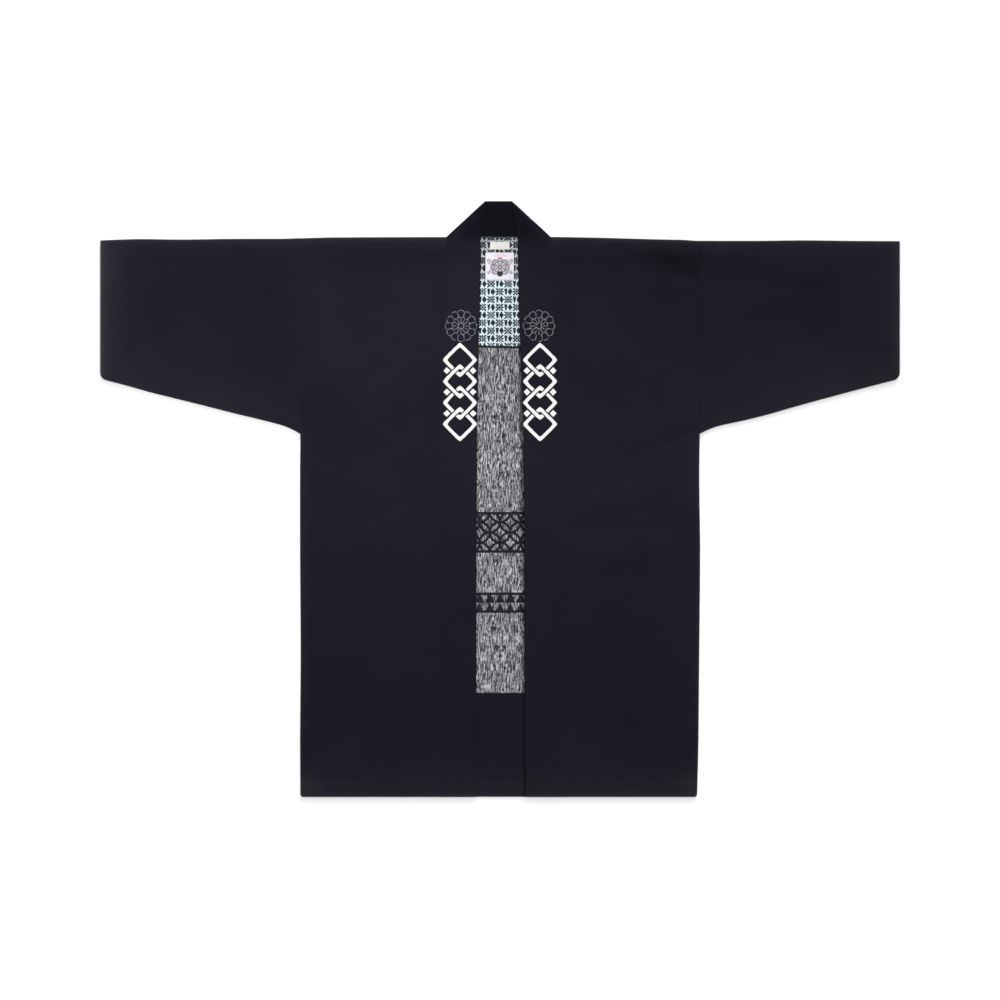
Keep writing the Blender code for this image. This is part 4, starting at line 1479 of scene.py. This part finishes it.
def collar_sections():
    """The strip's sections from the left hem round the neck to the right hem.

    Each is a hand and the heights of its seam edge and its free edge, which grow apart between
    FAN_FROM and the crease, where a section lies along the crease."""
    to_turn = math.cos(LEAN) / math.sin(CREASE_ANGLE)
    turn_from = TURN_START * to_turn
    turn_to = (TURN_START + TURN_LENGTH) * to_turn
    drawn_in = TURN_LOSS * math.sin(CREASE_ANGLE)
    behind = (NECK_HALF + drawn_in) * math.cos(LEAN)
    behind_free = (NECK_HALF - CREASE_RUN + drawn_in) * math.cos(LEAN)
    keys = (
        (HEM_UP, HEM_UP),
        (HEM_UP + COLLAR_END, HEM_UP + COLLAR_END),
        (FAN_FROM, FAN_FROM),
        (NECK_CORNER_UP + turn_from, TOP_UP + turn_from),
        (NECK_CORNER_UP + turn_to, TOP_UP + turn_to),
        (NECK_CORNER_UP + behind, TOP_UP + behind_free),
    )
    rows_between = (4, round((FAN_FROM - HEM_UP) / FINE), 40, 22, 18)
    side = [keys[0]]
    for (start, end), count in zip(zip(keys, keys[1:]), rows_between):
        for share in np.linspace(0, 1, count + 1)[1:]:
            side.append((mix(start[0], end[0], share), mix(start[1], end[1], share)))
    return [(LEFT, *pair) for pair in side] + [(RIGHT, *pair) for pair in side[-2::-1]]


def collar_middle(sections, across):
    """The middle of the strip's thickness, at a distance across each section from the seam edge."""
    rows = []
    for (hand, seam_up, free_up), share in zip(sections, across / COLLAR_WIDTH):
        x = mix(collar_seam(hand, seam_up), collar_free(hand, free_up), share)
        y = mix(seam_up, free_up, share)
        rows.append(turn_over(hand, x, y, on_curve(COLLAR_RISE, y, "middle")))
    return np.stack(rows)


def fold_profile(half, wall):
    """The strip's section: up one layer, round its folded edge and back, as across and out.

    half is half the strip's thickness. The inner profile lies a wall inside the outer one."""
    fold_at = COLLAR_WIDTH - half
    near_seam = (0.0, 0.25, 0.8, 1.6, 2.1, COLLAR_STITCH, 3.1, 3.8, 6.0)
    flat = spread(0.0, fold_at, near_seam, (0.0, 2.0))
    level = np.ones(len(flat))
    bend = np.linspace(0, math.pi, 11)[1:-1]
    across = np.concatenate([flat, fold_at + half * np.sin(bend), flat[::-1]])
    out = half * np.concatenate([level, np.cos(bend), -level])
    dent = groove(flat - COLLAR_STITCH, width=0.6, depth=0.10) - rolled_off(flat, depth=0.15, radius=0.5)
    out[: len(flat)] += dent
    out[-len(flat):] -= dent[::-1]
    inner_half = half - wall
    inner_across = np.concatenate([flat, fold_at + inner_half * np.sin(bend), flat[::-1]])
    inner = inner_half * np.concatenate([level, np.cos(bend), -level])
    return across, out, inner_across, inner


def collar_surface(sections, across, out):
    """Points at a distance out from the strip's middle, square to it."""
    middle = collar_middle(sections, across)
    nudge = 0.05
    over = collar_middle(sections, across + nudge) - collar_middle(sections, across - nudge)
    along = np.gradient(middle, axis=0)
    normal = np.cross(along, over)
    normal /= np.linalg.norm(normal, axis=-1, keepdims=True)
    start_up = np.sign(normal[0, 0, 2])
    return middle + normal * (out * start_up)[..., None]


# Between these heights the painted shade on the collar beside the neck comes in
NECK_PAINTED_SHADE = (
    (LEFT, 390.0, 420.0),
    (RIGHT, 368.0, 424.0),
)


def neck_painted_shade(x, y):
    """How deep the painted shade on the collar is beside the neck, near where it turns over."""
    tone = 0.0
    for hand, low, high in NECK_PAINTED_SHADE:
        reach = hand.way * x
        from_free = reach - collar_free(hand, y)
        past = past_crease(hand, reach, y)
        inward = np.maximum(falling(past, full=-18.0, gone=8.0), falling(from_free, full=2.2, gone=24.2))
        side = ease((y - low) / (high - low)) * falling(from_free, full=12.5, gone=62.5) * inward
        tone = np.maximum(tone, side * (reach > 0))
    return tone


COLLAR_SQUEEZE = 0.45  # of the strip's thickness, at its ends
COLLAR_FOLD_WEAR_AND_GLARE = (0.06, 8.0)
FOLD_SHADOW_UP = (-310.0, -300.0)  # where the painted shadow line along the left side's folded edge comes in
FOLD_SHADOW = 0.8
FOLD_SHADOW_WIDE = 1.3


def cut_collar(finish):
    """One strip folded double, hem to hem, that turns over at each shoulder and passes behind the neck."""
    sections = collar_sections()
    across, out, inner_across, inner = fold_profile(COLLAR_THICK / 2, COLLAR_WALL)
    from_end = np.array([section[1] - HEM_UP for section in sections])
    squeeze = mix(COLLAR_SQUEEZE, 1.0, round_edge(from_end, COLLAR_END)[:, None])
    outer_face = collar_surface(sections, np.tile(across, (len(sections), 1)), out * squeeze)
    inner_face = collar_surface(sections, np.tile(inner_across, (len(sections), 1)), inner * squeeze)
    from_fold = COLLAR_WIDTH - np.broadcast_to(across, outer_face.shape[:2])
    x, y = outer_face[..., 0], outer_face[..., 1]
    start, end = FOLD_SHADOW_UP
    above = ease((y - start) / (end - start))
    strength, reach = COLLAR_FOLD_WEAR_AND_GLARE
    worn = edge_wear_and_glare((from_fold, strength * above, reach), (y - HEM_UP, *HEM_WEAR_AND_GLARE))
    # painted shade on the strip behind the neck and beside it, and a painted shadow line along the folded
    # edge
    behind = falling(np.array([TOP_UP - section[2] for section in sections]), full=2.0, gone=6.0)
    unfaded = np.maximum(behind[:, None], neck_painted_shade(x, y))
    along_fold = np.maximum(above, x > 0) * np.exp(-((from_fold / FOLD_SHADOW_WIDE) ** 2))
    unfaded = np.maximum(unfaded, FOLD_SHADOW * along_fold)
    return shell("collar_cloth", finish, outer_face, inner_face, worn=worn, unfaded=unfaded)


def facing_low_edge(x):
    """The height of the facing's lower edge, which slopes a little down to the right."""
    return mix(FACING_LEFT_UP, FACING_RIGHT_UP, (x - NECK_SHIFT + FACING_HALF) / (2 * FACING_HALF))


def facing_upper_face(x, y):
    """The height of the facing's upper face, with its edge turned under."""
    from_low = y - facing_low_edge(x)
    from_side = FACING_HALF - abs(x - NECK_SHIFT)
    from_edge = np.minimum(np.minimum(from_low, from_side), FACING_TOP - y)
    high = LAYER_UP + FACING_THICK - rolled_off(from_edge, depth=0.5, radius=0.8)
    return high + groove(from_edge - FACING_STITCH, width=0.6, depth=0.2)


def cut_facing(finish):
    """The facing inside the back neck, with its lower edge turned under and stitched down."""
    near = (0.0, 0.2, 0.5, 0.9, 1.6, FACING_STITCH, 2.8, 4.0)
    across = spread(-FACING_HALF, FACING_HALF, near, near) + NECK_SHIFT
    height = FACING_TOP - FACING_RIGHT_UP
    share = spread(0.0, height, near, near) / height
    x, share = np.meshgrid(across, share)
    y = mix(facing_low_edge(x), FACING_TOP, share)
    high = facing_upper_face(x, y)
    low = np.full_like(x, LAYER_UP)
    return layer("facing_cloth", finish, x, y, high, low)


def cut_label(label, finish):
    """A woven label: a tape with its edges turned under, a little sunk along its stitching."""
    near = (0.0, 0.2, 0.5, 0.9, LABEL_STITCH, 1.8, 2.6)
    columns = spread(label.x0, label.x1, near, near, spacing=1.5)
    rows = spread(label.y0, label.y1, near, near, spacing=1.5)
    x, y = np.meshgrid(columns, rows)
    from_edge = np.minimum(np.minimum(x - label.x0, label.x1 - x), np.minimum(y - label.y0, label.y1 - y))
    high = LABEL_UP + LABEL_THICK - rolled_off(from_edge, depth=0.45, radius=0.7)
    high += groove(from_edge - LABEL_STITCH, width=0.5, depth=0.18) - LABEL_SAG * ease(from_edge / 4.0)
    low = np.full_like(x, LABEL_UP)
    return layer(f"{label.name}_tape", finish, x, y, high, low)


# ---------------------------------------------------------------- stitching


def points_of(x, y, z):
    return np.stack(np.broadcast_arrays(x, y, z), -1).astype(float)


def stitch_hem(finish):
    """The row that holds the hem, across both fronts and where the back shows between them."""
    rows = []
    for hand in (LEFT, RIGHT):
        reach = np.arange(collar_seam(hand, HEM_UP + HEM_STITCH) + 2.0, SIDE - 6.0, 1.5)
        y = np.full_like(reach, HEM_UP + HEM_STITCH)
        x = hand.way * reach
        rows.append(points_of(x, y, front_faces(hand, x, y)[0]))
    between = np.arange(-collar_free(LEFT, HEM_UP) + 1.0, collar_free(RIGHT, HEM_UP) - 1.0, 1.5)
    y = np.full_like(between, HEM_UP + HEM_STITCH)
    rows.append(points_of(between, y, back_top(y) - 0.05))
    return sew("hem_stitching", finish, *rows)


def stitch_cuff(hand, finish):
    """The row round a cuff, on its upper layer."""
    turn = np.linspace(2.02, 2.98, 160)
    out = np.full_like(turn, SLEEVE_LENGTH - HEM_STITCH)
    return sew(f"cuff_{hand.name}_stitching", finish, sleeve_point(hand, turn, out, np.zeros_like(turn)))


def stitch_collar(finish):
    """The row along the collar's seam, down both fronts."""
    rows = []
    sections = collar_sections()
    for hand in (LEFT, RIGHT):
        side = [s for s in sections if s[0] is hand and HEM_UP + 3.0 < s[1] < NECK_CORNER_UP - 6.0]
        across = np.full((len(side), 1), COLLAR_STITCH)
        rows.append(collar_surface(side, across, np.full((len(side), 1), COLLAR_THICK / 2 - 0.2))[:, 0])
    return sew("collar_stitching", finish, *rows)


def rectangle(x0, x1, y0, y1):
    """Points round a rectangle, close together."""
    across = np.linspace(x0, x1, 60)
    upward = np.linspace(y0, y1, 60)
    return [
        (across, np.full(60, y0)),
        (np.full(60, x1), upward),
        (across, np.full(60, y1)),
        (np.full(60, x0), upward),
    ]


def stitch_facing(finish):
    """The row along the facing's lower edge."""
    x = np.linspace(NECK_SHIFT - FACING_HALF + 3.0, NECK_SHIFT + FACING_HALF - 3.0, 120)
    y = facing_low_edge(x) + FACING_STITCH
    return sew("facing_stitching", finish, points_of(x, y, facing_upper_face(x, y)))


def stitch_label(label, finish):
    """The row round a label."""
    inset = LABEL_STITCH
    rows = [
        points_of(x, y, LABEL_UP + LABEL_THICK - 0.3)
        for x, y in rectangle(label.x0 + inset, label.x1 - inset, label.y0 + inset, label.y1 - inset)
    ]
    return sew(f"{label.name}_stitching", finish, *rows)


# ---------------------------------------------------------------- the whole coat

SQUARE_METRE = 1e6  # square millimetres
BACK_SHARE = 0.999  # of its rectangle that is cloth, as the sides and shoulders aren't quite straight
FACING_SHARE = 0.99  # the same, as its lower edge slopes
FRONT_BOW = 3.0  # how far a front's two long edges stray from straight


def declare(piece, node, flat, area, stitching=()):
    """Fastens a piece and its stitching to the frame and hides the solid that it stands for. flat and area,
    the cut of its cloth in millimetres, are not used.
    """
    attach(piece, "root")
    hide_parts(node)
    for sewing in stitching:
        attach(sewing, "root")
    flat[0] * MM
    flat[1] * MM
    area / SQUARE_METRE


def make_coat():
    cotton = navy_cotton()
    navy_thread = sewing_thread("navy_thread", THREAD_NAVY)
    white_thread = sewing_thread("white_thread", THREAD_WHITE)
    back_height = NECK_CORNER_UP - HEM_UP
    back = cut_back(printed_back())
    back_flat = (2 * SIDE, back_height)
    declare(back, "back", back_flat, back_flat[0] * back_flat[1] * BACK_SHARE)
    hem = stitch_hem(navy_thread)
    for hand in (LEFT, RIGHT):
        front = cut_front(hand, cotton)
        front_width = SIDE - COLLAR_EDGE[0].right - COLLAR_WIDTH
        declare(
            front,
            f"front_{hand.name}",
            (front_width + FRONT_BOW, back_height),
            front_width * back_height,
            [hem] if hand is LEFT else [],
        )
        cuff = stitch_cuff(hand, navy_thread)
        sleeve = cut_sleeve(hand, cotton)
        wide = 2 * (NECK_CORNER_UP - UNDERARM_UP)
        narrow = wide - 2 * SLEEVE_SLOPE * SLEEVE_LENGTH
        declare(
            sleeve,
            f"sleeve_{hand.name}",
            (wide, SLEEVE_LENGTH),
            (wide + narrow) / 2 * SLEEVE_LENGTH,
            [cuff],
        )
    strip_length = 2 * (TOP_UP - HEM_UP) + NECK_HALF
    collar = cut_collar(printed_collar())
    strip = (2 * COLLAR_WIDTH, strip_length)
    declare(
        collar,
        "collar",
        strip,
        strip[0] * strip[1],
        [stitch_collar(navy_thread)],
    )
    facing = cut_facing(facing_print())
    facing_flat = (2 * FACING_HALF, FACING_TOP - FACING_RIGHT_UP)
    declare(
        facing,
        "neck_facing",
        facing_flat,
        facing_flat[0] * facing_flat[1] * FACING_SHARE,
        [stitch_facing(white_thread)],
    )
    for label, finish, slot in (
        (SMALL_LABEL, small_label_tape(), "cream_label"),
        (LARGE_LABEL, large_label_tape(), "white_label"),
    ):
        size = (label.x1 - label.x0, label.y1 - label.y0)
        tape = cut_label(label, finish)
        sewing = [stitch_label(label, white_thread)]
        declare(tape, label.name, size, size[0] * size[1], sewing)


FLOOR_REACH = 80.0  # metres each way from the middle


def lay_floor():
    """A plain white floor."""
    mesh = bpy.data.meshes.new("floor")
    ground = bmesh.new()
    bmesh.ops.create_grid(ground, x_segments=1, y_segments=1, size=FLOOR_REACH)
    ground.to_mesh(mesh)
    ground.free()
    finish = Finish("white_floor", roughness=0.95, gloss=0.0)
    grain = finish.speckle(finish.x, finish.y, 40.0, 40.0)
    finish.paint(finish.toned(FLOOR_WHITE, 0.995 + grain * 0.01))
    mesh.materials.append(finish.material)
    floor = bpy.data.objects.new("floor", mesh)
    bpy.context.scene.collection.objects.link(floor)


def hang(light, place, turn=0.0, swing=0.0):
    """Puts a lamp in the scene: its lean from straight down about X, then its swing about Z, in degrees."""
    lamp = bpy.data.objects.new(light.name, light)
    lamp.location = place
    lamp.rotation_euler = (math.radians(turn), 0.0, math.radians(swing))
    bpy.context.scene.collection.objects.link(lamp)


def sun(name, strength, width, turn, swing):
    """A wide soft light from far off."""
    light = bpy.data.lights.new(name, "SUN")
    light.energy = strength
    light.angle = math.radians(width)
    hang(light, (0.0, 0.0, 2.0), turn, swing)


SURROUND_STRENGTH = 0.43
NEAR_LAMP_STRENGTH = 2.0
NEAR_LAMP_SIZE = 0.5
NEAR_LAMP_AT = (-0.32, 0.30, 0.9)


def light_studio():
    """Soft light from above, a low one from behind the collar, and a near lamp over the left chest."""
    sun("overhead", strength=1.80, width=60.0, turn=0.0, swing=0.0)
    sun("low", strength=4.0, width=36.0, turn=-77.0, swing=-14.0)
    near = bpy.data.lights.new("near", "AREA")
    near.energy = NEAR_LAMP_STRENGTH
    near.size = NEAR_LAMP_SIZE
    hang(near, NEAR_LAMP_AT)
    world = bpy.data.worlds.new("studio")
    world.use_nodes = True
    world.node_tree.nodes["Background"].inputs["Color"].default_value = (1.0, 1.0, 1.0, 1.0)
    world.node_tree.nodes["Background"].inputs["Strength"].default_value = SURROUND_STRENGTH
    bpy.context.scene.world = world
    bpy.context.scene.view_settings.view_transform = "Standard"


CAMERA_HEIGHT = 4.0
CAMERA_MIDDLE_Y = -0.0014
VIEW_WIDTH = 1.5625  # metres of the plane VIEW_PLANE_UP that the view takes in
VIEW_PLANE_UP = 0.004
SENSOR = 36.0


def set_camera():
    """Straight above the coat, the collar at the top of the view."""
    camera = bpy.data.cameras.new("camera")
    camera.sensor_width = SENSOR
    camera.lens = SENSOR * (CAMERA_HEIGHT - VIEW_PLANE_UP) / VIEW_WIDTH
    camera.clip_end = 400.0
    holder = bpy.data.objects.new("camera", camera)
    holder.location = (0.0, CAMERA_MIDDLE_Y, CAMERA_HEIGHT)
    bpy.context.scene.collection.objects.link(holder)
    bpy.context.scene.camera = holder


lay_floor()
make_coat()
light_studio()
set_camera()
